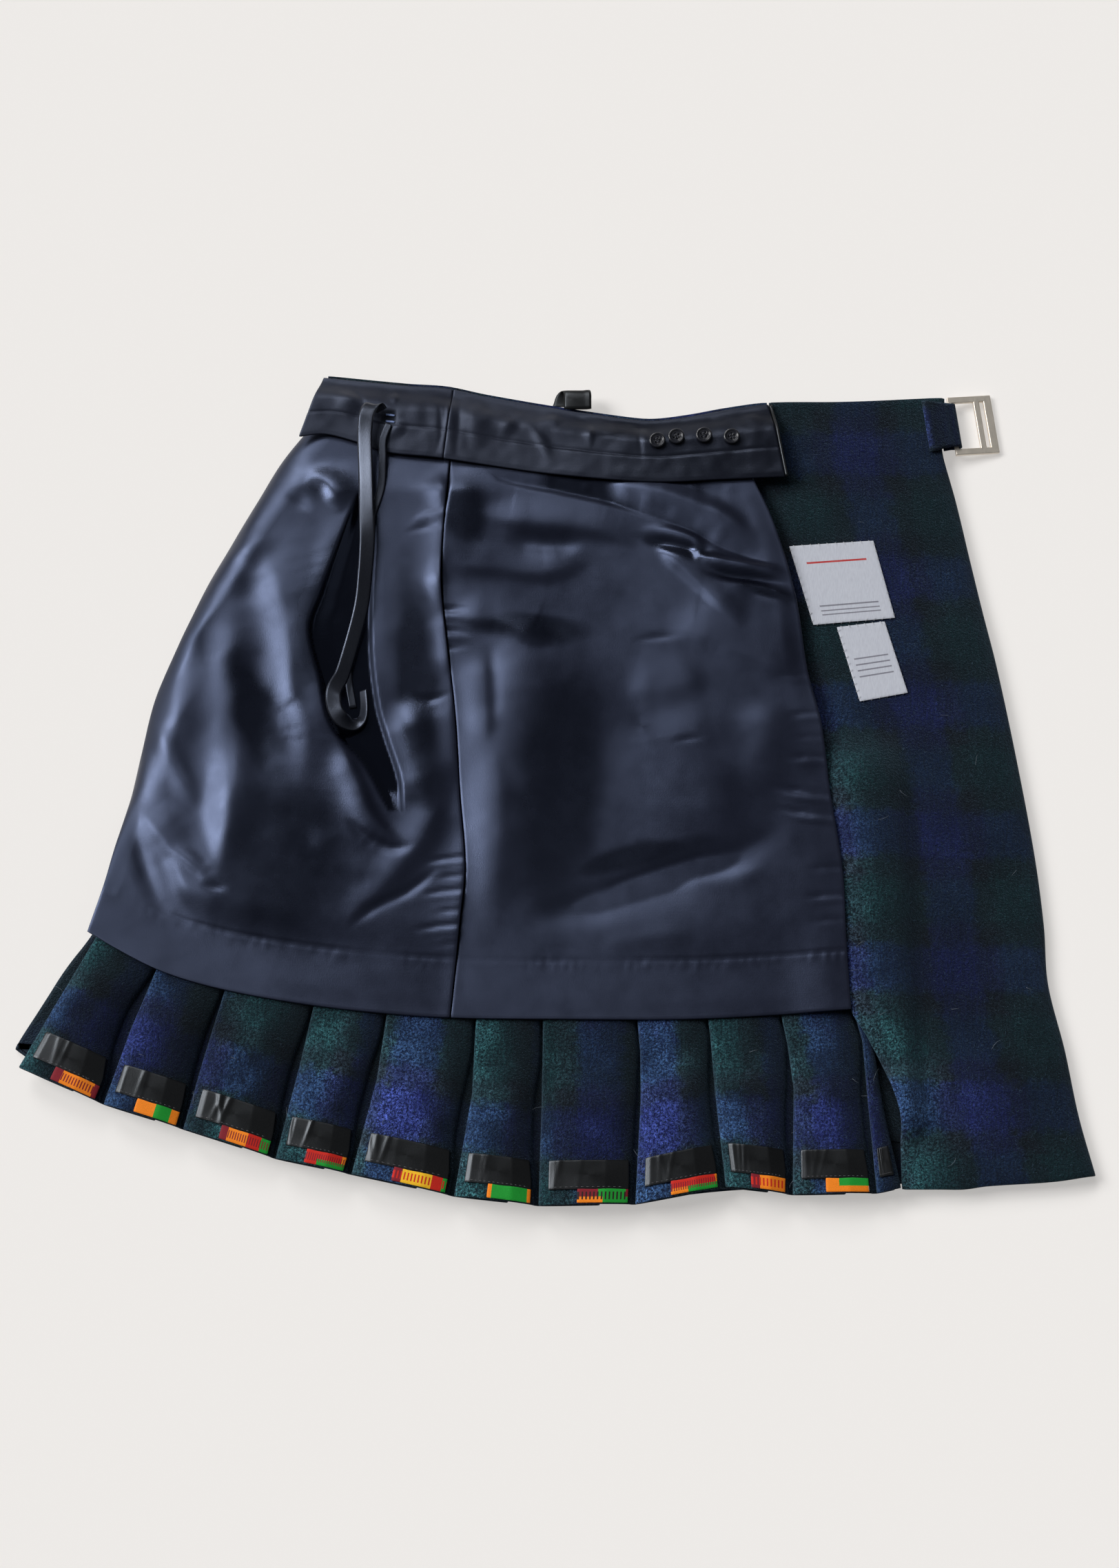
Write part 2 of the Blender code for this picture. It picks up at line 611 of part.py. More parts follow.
def face_strip(name, index, left, right, low, high, lift, wall, finish):
    """A strip that lies on a pleat's face between two shares of its width and two depths."""
    breaks = [share for share in FACE_SHARES if left < share < right]
    shares = [left] + breaks + [right]
    columns = len(shares) - 1

    def point(u, v):
        return face_point(index, blend(low, high, v), shares[round(u * columns)], lift)
    return cloth(name, columns, 1, point, wall, finish)


def outline_of_back():
    """The outline of the folded layers, round the whole kilt."""
    left = [Vector((row.x, row.y)) for row in BACK_LEFT]
    hem = [Vector((row.x, row.y)) for row in BACK_HEM]
    right = [Vector((row.x - BACK_INSET_RIGHT, row.y)) for row in reversed(APRON_RIGHT[1:-1])]
    top = [Vector((row.x, row.y - 3.0)) for row in reversed(WAIST_TOP[1:])]
    top[0].x -= 13.0
    return left + hem + right + top


def make_back(finish):
    """The folded layers: one solid of stacked outlines, flat below."""
    outline = outline_of_back()
    count = len(outline)
    inward = []
    for i, here in enumerate(outline):
        tangent = outline[(i + 1) % count] - outline[i - 1]
        inward.append(Vector((-tangent.y, tangent.x)).normalized())
    sections = []
    for layer in BACK_LAYERS:
        ring = [Vector((*(here + inward[i] * layer.inset), layer.z)) for i, here in enumerate(outline)]
        sections.append(ring)
    return loft("folded_back", sections, finish)


def make_waist_wool(finish):
    """The wool's own top edge, which shows above the facing."""
    def point(u, v):
        x = blend(WAIST_WOOL_LEFT, WAIST_WOOL_RIGHT, u)
        y = line_y(WAIST_TOP, x) + blend(-WAIST_WOOL_TUCK, WAIST_WOOL_PROUD, v)
        return Vector((x, y, WAIST_WOOL_REST))
    return cloth("waist_wool", 22, 1, point, WAIST_WALL, finish)


def band_section(centre, across, upright, width, wall):
    """A flat band's section: a rectangle round its centre."""
    side = across * (0.5 * width)
    rise = upright * (0.5 * wall)
    return [centre - side - rise, centre + side - rise, centre + side + rise, centre - side + rise]


def make_band(name, route, turns, width, wall, finish):
    """A flat band along a route, standing on edge by its turns."""
    sections = []
    for i, centre in enumerate(route):
        ahead = route[min(i + 1, len(route) - 1)] - route[max(i - 1, 0)]
        level = Vector((ahead.x, ahead.y, 0.0)).normalized()
        across = Vector((level.y, -level.x, 0.0))
        upright = across.cross(ahead.normalized())
        spin = Matrix.Rotation(math.radians(turns[i]), 3, ahead.normalized())
        sections.append(band_section(centre, spin @ across, spin @ upright, width, wall))
    return loft(name, sections, finish)


def rest_height(x, y):
    """The top of the lining or the facing at a place, as the ribbon meets it."""
    if y > line_y(FACING_LOW, x) - 1.0:
        return facing_top_at(x, y)
    return lining_height(x, y) + LINING_WALL


def ribbon_route(rows):
    """The centre of the ribbon, lifted off the highest cloth under its width."""
    route = []
    for row in rows:
        spots = [(row.x + dx, row.y + dy) for dx in (-8, -4, 0, 4, 8) for dy in (-6, 0, 6)]
        support = max(rest_height(x, y) for x, y in spots)
        route.append(Vector((row.x, row.y, support + row.lift)))
    return route


def spread(points, pieces):
    """Points on a smooth curve through a route, a few to each stretch."""
    full = []
    for i in range(len(points) - 1):
        before = points[max(i - 1, 0)]
        after = points[min(i + 2, len(points) - 1)]
        for k in range(pieces):
            t = k / pieces
            start = 0.5 * (points[i + 1] - before)
            end = 0.5 * (after - points[i])
            rise = points[i + 1] - points[i]
            full.append(points[i] + start * t + (3 * rise - 2 * start - end) * t * t
                        + (start + end - 2 * rise) * t ** 3)
    full.append(points[-1])
    return full


def make_ribbon(name, rows, width, finish):
    """One stretch of the hanging ribbon."""
    route = spread(ribbon_route(rows), 2)
    turns = spread([Vector((row.turn, 0.0, 0.0)) for row in rows], 2)
    return make_band(name, route, [turn.x for turn in turns], width, RIBBON_WALL, finish)


def make_belt_loop(finish):
    """The folded tape that stands out above the waistband, its strands spread."""
    sections = []
    for i, row in enumerate(BELT_LOOP):
        before = BELT_LOOP[max(i - 1, 0)]
        after = BELT_LOOP[min(i + 1, len(BELT_LOOP) - 1)]
        ahead = Vector((0.0, after.y - before.y, after.z - before.z)).normalized()
        upright = Vector((0.0, -ahead.z, ahead.y))
        centre = Vector((BELT_LOOP_X + row.shift, row.y, row.z))
        across = Vector((1.0, 0.0, 0.0))
        sections.append(band_section(centre, across, upright, BELT_LOOP_WIDTH, BELT_LOOP_WALL))
    return loft("belt_loop", sections, finish)


def make_button(number, spot, finish):
    """One four-hole button with a raised rim, turned round its own axis and pierced."""
    rim = BUTTON_RADIUS
    top = BUTTON_THICK
    dish = top - BUTTON_DISH
    profile = [(0.0, dish), (rim - 1.9, dish), (rim - 1.3, top), (rim - 0.6, top),
               (rim, top - 0.7), (rim, 0.6), (rim - 1.1, 0.0), (0.0, 0.0)]
    bm = bmesh.new()
    verts = [bm.verts.new((a * MM, 0.0, z * MM)) for a, z in profile]
    for start, end in zip(verts, verts[1:]):
        bm.edges.new((start, end))
    mesh = bpy.data.meshes.new(f"button_{number}")
    bm.to_mesh(mesh)
    bm.free()
    button = add_piece(f"button_{number}", mesh, finish)
    spin = button.modifiers.new("turn", "SCREW")
    spin.steps = 16
    spin.render_steps = 16
    spin.use_merge_vertices = True
    spin.merge_threshold = 0.0001
    for k in range(4):
        angle = math.radians(45.0 + 90.0 * k)
        bpy.ops.mesh.primitive_cylinder_add(vertices=6, radius=BUTTON_HOLE * MM, depth=CUTTER_DEPTH * MM)
        hole = bpy.context.active_object
        hole.name = f"button_{number}_hole_{k + 1}"
        for owner in list(hole.users_collection):
            owner.objects.unlink(hole)
        CUTTERS.objects.link(hole)
        hole.hide_render = True
        hole.display_type = "WIRE"
        hole.parent = button
        hole.location = Vector((HOLE_REACH * math.cos(angle), HOLE_REACH * math.sin(angle), 1.0)) * MM
        cut = button.modifiers.new(f"hole_{k + 1}", "BOOLEAN")
        cut.operation = "DIFFERENCE"
        cut.solver = "EXACT"
        cut.object = hole
    steps = (-0.8 * BUTTON_RADIUS, 0.0, 0.8 * BUTTON_RADIUS)
    height = max(facing_top_at(spot.x + dx, spot.y + dy) for dx in steps for dy in steps)
    button.location = Vector((spot.x, spot.y, height + GAP)) * MM
    return button


def make_label(name, corners, finish):
    """A woven label that follows the apron under it."""
    low_left, low_right, high_left, high_right = [Vector((spot.x, spot.y)) for spot in corners]

    def point(u, v):
        place = low_left.lerp(low_right, u).lerp(high_left.lerp(high_right, u), v)
        spots = [(place.x + dx, place.y + dy) for dx in (-5, 0, 5) for dy in (-5, 0, 5)]
        height = max(apron_height(x, y) for x, y in spots)
        return Vector((place.x, place.y, height + APRON_WALL + LABEL_LIFT))
    return cloth(name, 5, 5, point, LABEL_WALL, finish)


def buckle_frame():
    """The matrix that puts the buckle's own frame in its place, on the bar in the loop."""
    turn = Matrix.Rotation(BUCKLE_TURN, 4, "Z")
    lean = Matrix.Rotation(BUCKLE_LEAN, 4, "Y")
    return Matrix.Translation(BUCKLE_AT * MM) @ turn @ lean


def box_at(name, low, high):
    """A box between two corners, as a cutter or a blank."""
    bm = bmesh.new()
    bmesh.ops.create_cube(bm, size=1.0)
    for vert in bm.verts:
        for k in range(3):
            vert.co[k] = (low[k] if vert.co[k] < 0.0 else high[k]) * MM
    mesh = bpy.data.meshes.new(name)
    bm.to_mesh(mesh)
    bm.free()
    return mesh


def make_buckle(finish):
    """The slide buckle: a flat frame with a window, a middle bar, a slot and a wide outer rail."""
    low = (-BAR_RADIUS, -BUCKLE_HALF_HEIGHT, -0.5 * BUCKLE_THICK)
    high = (BUCKLE_REACH, BUCKLE_HALF_HEIGHT, 0.5 * BUCKLE_THICK)
    buckle = add_piece("buckle", box_at("buckle", low, high), finish, smooth=False)
    buckle.matrix_local = buckle_frame()
    inner = BUCKLE_HALF_HEIGHT - BUCKLE_RAIL
    slot_start = MIDDLE_BAR_AT + 0.5 * MIDDLE_BAR_WIDTH
    windows = [
        ("buckle_window", BAR_RADIUS, MIDDLE_BAR_AT - 0.5 * MIDDLE_BAR_WIDTH),
        ("buckle_slot", slot_start, BUCKLE_REACH - OUTER_RAIL_WIDTH)]
    for name, start, end in windows:
        cutter = bpy.data.objects.new(name, box_at(name, (start, -inner, -5.0), (end, inner, 5.0)))
        CUTTERS.objects.link(cutter)
        cutter.hide_render = True
        cutter.display_type = "WIRE"
        cutter.parent = buckle
        cut = buckle.modifiers.new(name, "BOOLEAN")
        cut.operation = "DIFFERENCE"
        cut.solver = "EXACT"
        cut.object = cutter
    rounding = buckle.modifiers.new("round", "BEVEL")
    rounding.width = 0.5 * MM
    rounding.segments = 1
    return buckle


def make_strap(finish):
    """The wool tab: doubled cloth on the apron, with an eye round the buckle's bar."""
    inner = STRAP_EYE_RADIUS
    outer = inner + STRAP_WALL
    frame = Matrix.Translation(BUCKLE_AT) @ Matrix.Rotation(BUCKLE_TURN, 4, "Z")
    eye_out = [TabPoint(outer * math.cos(math.radians(a)), outer * math.sin(math.radians(a)))
               for a in range(110, -131, -30)]
    eye_in = [TabPoint(inner * math.cos(math.radians(a)), inner * math.sin(math.radians(a)))
              for a in range(-130, 111, 30)]
    profile = STRAP_TAIL_TOP + eye_out + STRAP_UNDER_TAIL + eye_in + STRAP_TAIL_LOW
    sections = []
    for side in (-1.0, 1.0):
        section = []
        for row in profile:
            flare = STRAP_FLARE * ease((-row.along - 4.0) / 14.0)
            section.append(frame @ Vector((row.along, side * (STRAP_HALF_HEIGHT + flare), row.z)))
        sections.append(section)
    return loft("strap", sections, finish)


def make_piping(finish):
    """The narrow piping that closes the right end of the facing."""
    curve = bpy.data.curves.new("facing_piping", "CURVE")
    curve.dimensions = "3D"
    curve.bevel_depth = PIPING_RADIUS * MM
    curve.bevel_resolution = 2
    curve.use_fill_caps = True
    spline = curve.splines.new("POLY")
    steps = 6
    spline.points.add(steps)
    for k in range(steps + 1):
        share = k / steps
        x = blend(PIPING_TOP.x, PIPING_LOW.x, share) + PIPING_ASIDE
        y = blend(PIPING_TOP.y, PIPING_LOW.y, share)
        spline.points[k].co = (x * MM, y * MM, (facing_height(x, share) + PIPING_LIFT) * MM, 1.0)
    guide = bpy.data.objects.new("facing_piping_path", curve)
    PARTS.objects.link(guide)
    bpy.context.view_layer.update()
    shape = bpy.data.meshes.new_from_object(guide.evaluated_get(bpy.context.evaluated_depsgraph_get()))
    bm = bmesh.new()
    bm.from_mesh(shape)
    bmesh.ops.remove_doubles(bm, verts=bm.verts, dist=0.00001)
    bm.to_mesh(shape)
    bm.free()
    bpy.data.objects.remove(guide, do_unlink=True)
    return add_piece("facing_piping", shape, finish)


def centre_on_origin():
    """Move the kilt so that its box stands on the origin."""
    bpy.context.view_layer.update()
    graph = bpy.context.evaluated_depsgraph_get()
    low = [1e9] * 3
    high = [-1e9] * 3
    for piece in PARTS.objects:
        if piece.type != "MESH":
            continue
        shape = piece.evaluated_get(graph)
        for vert in shape.data.vertices:
            place = shape.matrix_world @ vert.co
            low = [min(a, b) for a, b in zip(low, place)]
            high = [max(a, b) for a, b in zip(high, place)]
    ROOT.location = (-0.5 * (low[0] + high[0]), -0.5 * (low[1] + high[1]), -low[2])
    print("origin moved by", [round(value, 5) for value in ROOT.location])
    print("size", [round(b - a, 5) for a, b in zip(low, high)])


def main():
    """Build every piece of the kilt."""
    wool = material("tartan_wool", (0.018, 0.035, 0.06), 0.9)
    back_wool = material("folded_wool", (0.015, 0.022, 0.03), 0.9)
    satin = material("lining_satin", (0.012, 0.012, 0.025), 0.35)
    sateen = material("facing_sateen", (0.01, 0.011, 0.014), 0.5)
    tape = material("tape_satin", (0.008, 0.008, 0.01), 0.45)
    metal = material("buckle_metal", (0.62, 0.57, 0.5), 0.3, 1.0)
    plastic = material("button_plastic", (0.01, 0.01, 0.012), 0.25)
    label = material("label_weave", (0.75, 0.75, 0.75), 0.7)
    scrap = material("printed_cotton", (0.7, 0.2, 0.03), 0.7)

    make_back(back_wool)
    make_pleats(wool)
    make_waist_wool(wool)
    cloth("lining_left", 20, 22, lining_left_point, LINING_WALL, satin)
    cloth("lining_right", 22, 22, lining_right_point, LINING_WALL, satin)
    cloth("facing_left", 8, 5, facing_point(FACING_LEFT), FACING_WALL, sateen)
    cloth("facing_right", 24, 5, facing_point(FACING_RIGHT), FACING_WALL, sateen)
    make_piping(sateen)
    cloth("apron", 14, 24, apron_point, APRON_WALL, wool)
    make_strap(wool)
    make_buckle(metal)
    for number, spot in enumerate(BUTTONS, 1):
        make_button(number, spot, plastic)
    make_ribbon("ribbon_loop", RIBBON, RIBBON_WIDTH, tape)
    make_ribbon("ribbon_rear", RIBBON_REAR, REAR_RIBBON_WIDTH, tape)
    make_belt_loop(tape)
    make_label("label_large", LABEL_LARGE, label)
    make_label("label_small", LABEL_SMALL, label)
    for index in range(len(PLEATS)):
        right = TAPE_RIGHT_SHARE if index < len(PLEATS) - 1 else LAST_TAPE_SHARE
        name = f"hem_tape_{index + 1:02d}"
        face_strip(name, index, TAPE_LEFT_SHARE, right, TAPE_LOW, TAPE_HIGH, GAP, TAPE_WALL, tape)
    for index in range(len(PLEATS) - 1):
        name = f"hem_patch_{index + 1:02d}"
        high = TAPE_LOW - GAP
        face_strip(name, index, PATCH_LEFT_SHARE, TAPE_RIGHT_SHARE, PATCH_LOW, high, GAP, TAPE_WALL, scrap)
    centre_on_origin()


main()
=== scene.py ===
import math

import bmesh
import bpy
import numpy as np
from mathutils import Matrix, Vector


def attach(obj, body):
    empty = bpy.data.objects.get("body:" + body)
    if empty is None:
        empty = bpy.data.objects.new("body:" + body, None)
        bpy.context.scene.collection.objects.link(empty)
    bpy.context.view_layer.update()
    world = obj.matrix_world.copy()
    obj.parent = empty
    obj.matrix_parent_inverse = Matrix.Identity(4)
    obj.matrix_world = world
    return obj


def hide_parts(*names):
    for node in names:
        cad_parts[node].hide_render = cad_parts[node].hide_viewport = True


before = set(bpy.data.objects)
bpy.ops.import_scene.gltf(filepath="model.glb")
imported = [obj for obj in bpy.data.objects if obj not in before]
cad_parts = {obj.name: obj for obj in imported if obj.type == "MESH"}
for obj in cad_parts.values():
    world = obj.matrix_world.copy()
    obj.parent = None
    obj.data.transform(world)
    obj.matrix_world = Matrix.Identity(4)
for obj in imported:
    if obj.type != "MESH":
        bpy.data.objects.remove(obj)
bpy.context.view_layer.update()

# The tables are in millimetres from the point the camera looks at; SHIFT takes them to the frame
MM = 0.001
SHIFT = np.array((5.26, -6.14, 0.0))

WOOL_WALL = 1.5
APRON_WALL = 2.0
LINING_WALL = 1.2
FACING_WALL = 1.5
TAPE_WALL = 0.8
RIBBON_WALL = 0.5
GAP = 0.3

BACK_TOP = 9.0
PLEAT_FLOOR = 10.1
LINING_REST = 17.4
LINING_LOWEST = LINING_REST - 0.1
LINING_OVER_APRON = 20.8
LINING_UNDER_FACING = 18.7
APRON_REST = 9.5
APRON_OVER_PLEATS = 17.8
FACING_EDGE = 12.0
FACING_LEVEL = 20.6
OUTER_EDGE_REST = 4.0
WAIST_CORNER_REST = 8.0
APRON_BEND = 13.0
SHORT_CREASE = 45.0

LAYER_STEP = 2.2
OUTER_FOLD_SHARE = 0.62
FACE_SHARES = (0.16, 0.40, 0.72)
FACE_SWELL = (0.80, 1.08, 0.78)
SHOULDER_DROP = 2.6
TAPE_LOW = 9.0
TAPE_HIGH = 27.0
LAP_DEPTH = 98.0
UPPER_RUN = 100.0
FACE_FROM = PLEAT_FLOOR + LAYER_STEP + 2.5

BUTTON_RADIUS = 5.6
BUTTON_THICK = 2.4
BUTTON_DISH = 0.7
BUTTON_TURNS = (0.5, 1.2, 0.3, 0.9)
HOLE_REACH = 1.25
HOLES_AT = (-HOLE_REACH, HOLE_REACH)
THREAD_TOP = BUTTON_THICK - BUTTON_DISH + 0.35
SPOKES = 64
RIBBON_WIDTH = 10.5
RIBBON_HELD = 24
BELT_LOOP_WIDTH = 19.0

# In metres: the least size of a sheet, and the paper's reach
SHEET_LEAST = 0.0101
FLOOR_REACH = 60.0
WALL_REACH = 25.0

# The camera: the photograph's size, its scale and its angle
PHOTO = (1624, 2275)
PHOTO_SCALE = 0.46
LENS = 65.0
SENSOR = 36.0
ELEVATION = math.radians(75.0)
LOOK = np.array((0.0, 0.0, 10.0))
FOCAL = LENS / SENSOR * PHOTO[1]
DISTANCE = FOCAL * PHOTO_SCALE
BACKWARD = np.array((0.0, -math.cos(ELEVATION), math.sin(ELEVATION)))
UPWARD = np.array((0.0, math.sin(ELEVATION), math.cos(ELEVATION)))

# Level edges are (x, y), upright edges are (y, x)
WAIST_TOP = [
    (-163, 292), (-105, 286), (-78, 284), (-51, 278), (-8, 270), (42, 262),
    (64, 260), (89, 263), (115, 268), (144, 272), (206, 273), (266, 276)]
FACING_LOW = [
    (-178, 244), (-161, 246), (-138, 240), (-119, 233), (-86, 229), (-53, 224),
    (-6, 217), (32, 213), (69, 211), (113, 213), (154, 215)]
LINING_LEFT = [
    (256, -172), (230, -191), (201, -207), (173, -222), (139, -240), (99, -257),
    (61, -272), (22, -280), (-15, -287), (-65, -298), (-102, -309)]
LINING_SEAM = [
    (240, -74), (145, -80), (91, -75), (48, -70), (-9, -66), (-59, -62), (-96, -65), (-159, -71)]
LINING_RIGHT = [
    (225, 127), (183, 145), (130, 159), (76, 166), (40, 174), (-8, 179),
    (-63, 186), (-109, 187), (-154, 189)]
LINING_HEM = [
    (-309, -102), (-291, -113), (-266, -126), (-241, -135), (-208, -143), (-167, -150),
    (-126, -155), (-71, -159), (4, -160), (82, -160), (143, -157), (189, -154)]
LINING_DROOP = [
    (-74, 230), (-54, 223), (-40, 211), (0, 201), (34, 193), (64, 183), (90, 172), (112, 160), (139, 150),
    (160, 144)]
APRON_RIGHT = [
    (276, 266), (238, 263), (205, 271), (158, 280), (122, 287), (83, 295),
    (16, 306), (-49, 315), (-96, 319), (-135, 320), (-179, 329), (-222, 336), (-260, 345)]
APRON_HEM = [(221, -269), (244, -269), (260, -269), (275, -267), (319, -264), (345, -260)]
APRON_FREE = [
    (-125, 180), (-147, 189), (-158, 192), (-173, 201), (-199, 213), (-222, 220),
    (-242, 221), (-269, 221)]
BACK_LEFT = [
    (288, -162), (240, -168), (200, -197), (139, -230), (61, -263), (-15, -278),
    (-50, -286), (-75, -295), (-102, -310), (-123, -326), (-146, -339), (-176, -357)]
BACK_HEM = [
    (-356, -179), (-325, -198), (-291, -212), (-248, -226), (-189, -246), (-141, -258),
    (-76, -270), (-15, -276), (46, -278), (104, -270), (160, -268), (221, -266),
    (275, -263), (336, -256)]
BACK_LAYERS = [
    (3.0, 0.0), (0.9, 0.7), (0.5, 1.8), (1.6, 3.0), (3.0, 3.4), (1.8, 4.2),
    (1.6, 5.2), (2.8, 6.3), (3.8, 6.7), (3.0, 7.7), (5.0, BACK_TOP)]

# waist_x, lap_x, lap_y, mid_x, mid_y, hem_x, hem_y, gap, dome, and where its left fold is in the sett
PLEATS = [
    (-150, -304, -106, -329, -152, -350, -191, 9.0, 3.0, 46),
    (-133, -263, -126, -279, -168, -294, -215, 6.0, 3.0, 76),
    (-108, -219, -144, -230, -184, -242, -231, 7.0, 2.6, 14),
    (-83, -160, -152, -168, -190, -182, -250, 8.0, 3.0, 38),
    (-58, -112, -156, -118, -200, -133, -260, 8.0, 3.2, -22),
    (-33, -54, -160, -56, -208, -67, -274, 7.0, 3.0, 34),
    (-8, -10, -160, -11, -212, -13, -280, 5.0, 2.4, 50),
    (17, 53, -162, 53, -212, 49, -279, 6.0, 2.8, -10),
    (42, 98, -160, 101, -207, 107, -268, 7.0, 3.0, 40),
    (67, 147, -161, 152, -205, 150, -273, 6.0, 1.6, 60),
    (92, 197, -166, 200, -215, 204, -272, 4.0, 0.0, -8),
    (114, 206, -172, 213, -219, 222, -268, 4.0, 0.0, 0)]
SETT = 88.0

# How lit each pleat is: its left roll, its middle and its right
PLEAT_LIGHT = [
    (0.75, 0.22, 0.05), (0.65, 0.20, 0.05), (0.45, 0.60, 0.15), (0.60, 0.95, 0.30), (1.00, 0.95, 0.55),
    (1.00, 0.55, 0.10), (0.40, 0.45, 0.25), (0.80, 1.00, 0.40), (0.75, 0.50, 0.15), (0.90, 0.60, 0.20),
    (0.5, 0.3, 0.1)]

# Creases: height, width on the left of the way it runs, width on the right, and its route. The routes are in
# pixels of the photograph's frame, and the heights and widths in millimetres.
LEFT_CREASES = [
    (5.2, 30, 15, (378, 760), (402, 822), (415, 867), (422, 916), (432, 1000), (441, 1018), (454, 1072),
     (440, 1150)),
    (4.4, 17, 18, (322, 868), (338, 952), (336, 1051), (339, 1124), (333, 1185), (322, 1270)),
    (4.6, 85, 15, (352, 1060), (340, 1190), (318, 1290), (290, 1400)),
    (3.4, 16, 8, (196, 1160), (214, 1185), (257, 1240), (288, 1345)),
    (-1.8, 6, 5, (190, 1196), (228, 1310), (270, 1340)),
    (2.0, 7, 4, (244, 1228), (292, 1264), (300, 1290)),
    (-1.5, 3, 3, (290, 1284), (336, 1294)),
    (2.8, 12, 7, (447, 668), (462, 688), (482, 704), (498, 745)),
    (2.4, 4, 4, (448, 630), (466, 652), (490, 668)),
    (-1.2, 6, 3, (410, 716), (456, 744)), (-1.6, 12, 9, (350, 826), (384, 888)),
    (-1.4, 12, 12, (320, 950), (396, 998)),
    (3.0, 14, 12, (330, 700), (350, 760), (372, 830)),
    (3.2, 16, 14, (262, 850), (250, 940), (262, 1040), (272, 1110)),
    (2.4, 8, 9, (206, 1040), (240, 1080), (290, 1180)),
    (3.8, 5, 12, (486, 1070), (518, 1138), (534, 1180), (556, 1208), (590, 1222)),
    (2.6, 8, 14, (646, 1140), (616, 1212), (580, 1258), (544, 1298), (500, 1336)),
    (-1.6, 3, 4, (500, 1186), (536, 1218), (576, 1232), (606, 1224)),
    (-1.4, 4, 3, (640, 1258), (590, 1294), (540, 1318), (500, 1352)),
    (1.2, 10, 8, (448, 1196), (480, 1240), (520, 1262), (560, 1262)),
    (1.6, 30, 14, (556, 720), (560, 860), (566, 990)), (3.4, 15, 14, (580, 1010), (604, 1066), (620, 1120),
     (622, 1180)),
    (3.0, 3, 13, (658, 650), (656, 700), (646, 770), (643, 850), (648, 920)),
    (2.4, 6, 12, (636, 676), (640, 744)), (2.0, 4, 14, (672, 1200), (674, 1280), (664, 1360), (656, 1440)),
    (1.2, 2.5, 3, (592, 762), (622, 750), (668, 748)), (-0.8, 2.0, 2.2, (580, 776), (618, 766), (664, 764)),
    (1.8, 5, 8, (636, 806), (642, 878)), (2.0, 5, 9, (648, 884), (655, 982)),
    (1.6, 6, 10, (650, 1010), (660, 1140)), (-1.1, 2.5, 2.5, (592, 1006), (622, 1016), (660, 1004)),
    (-0.9, 1.5, 1.5, (606, 1252), (650, 1247), (730, 1240)), (0.4, 1.8, 1.8, (612, 1259), (650, 1254),
     (730, 1250)),
    (-0.8, 1.4, 1.4, (622, 1276), (660, 1272), (730, 1266)), (-0.9, 1.5, 1.5, (602, 1300), (640, 1294),
     (730, 1288)),
    (0.4, 1.8, 1.8, (604, 1308), (646, 1302), (730, 1298)), (-0.7, 1.4, 1.4, (620, 1326), (654, 1322),
     (730, 1318)),
    (-0.9, 1.5, 1.5, (588, 1352), (636, 1344), (730, 1338)), (0.4, 1.8, 1.8, (596, 1360), (640, 1352),
     (730, 1350)),
    (-0.7, 1.4, 1.4, (616, 1374), (652, 1370), (730, 1366)),
    (2.2, 10, 14, (428, 1424), (520, 1414), (600, 1404), (650, 1392))]
TUCK = (4.2, 9, 15, (866, 706), (935, 712), (996, 730), (1050, 752), (1092, 786), (1112, 812))
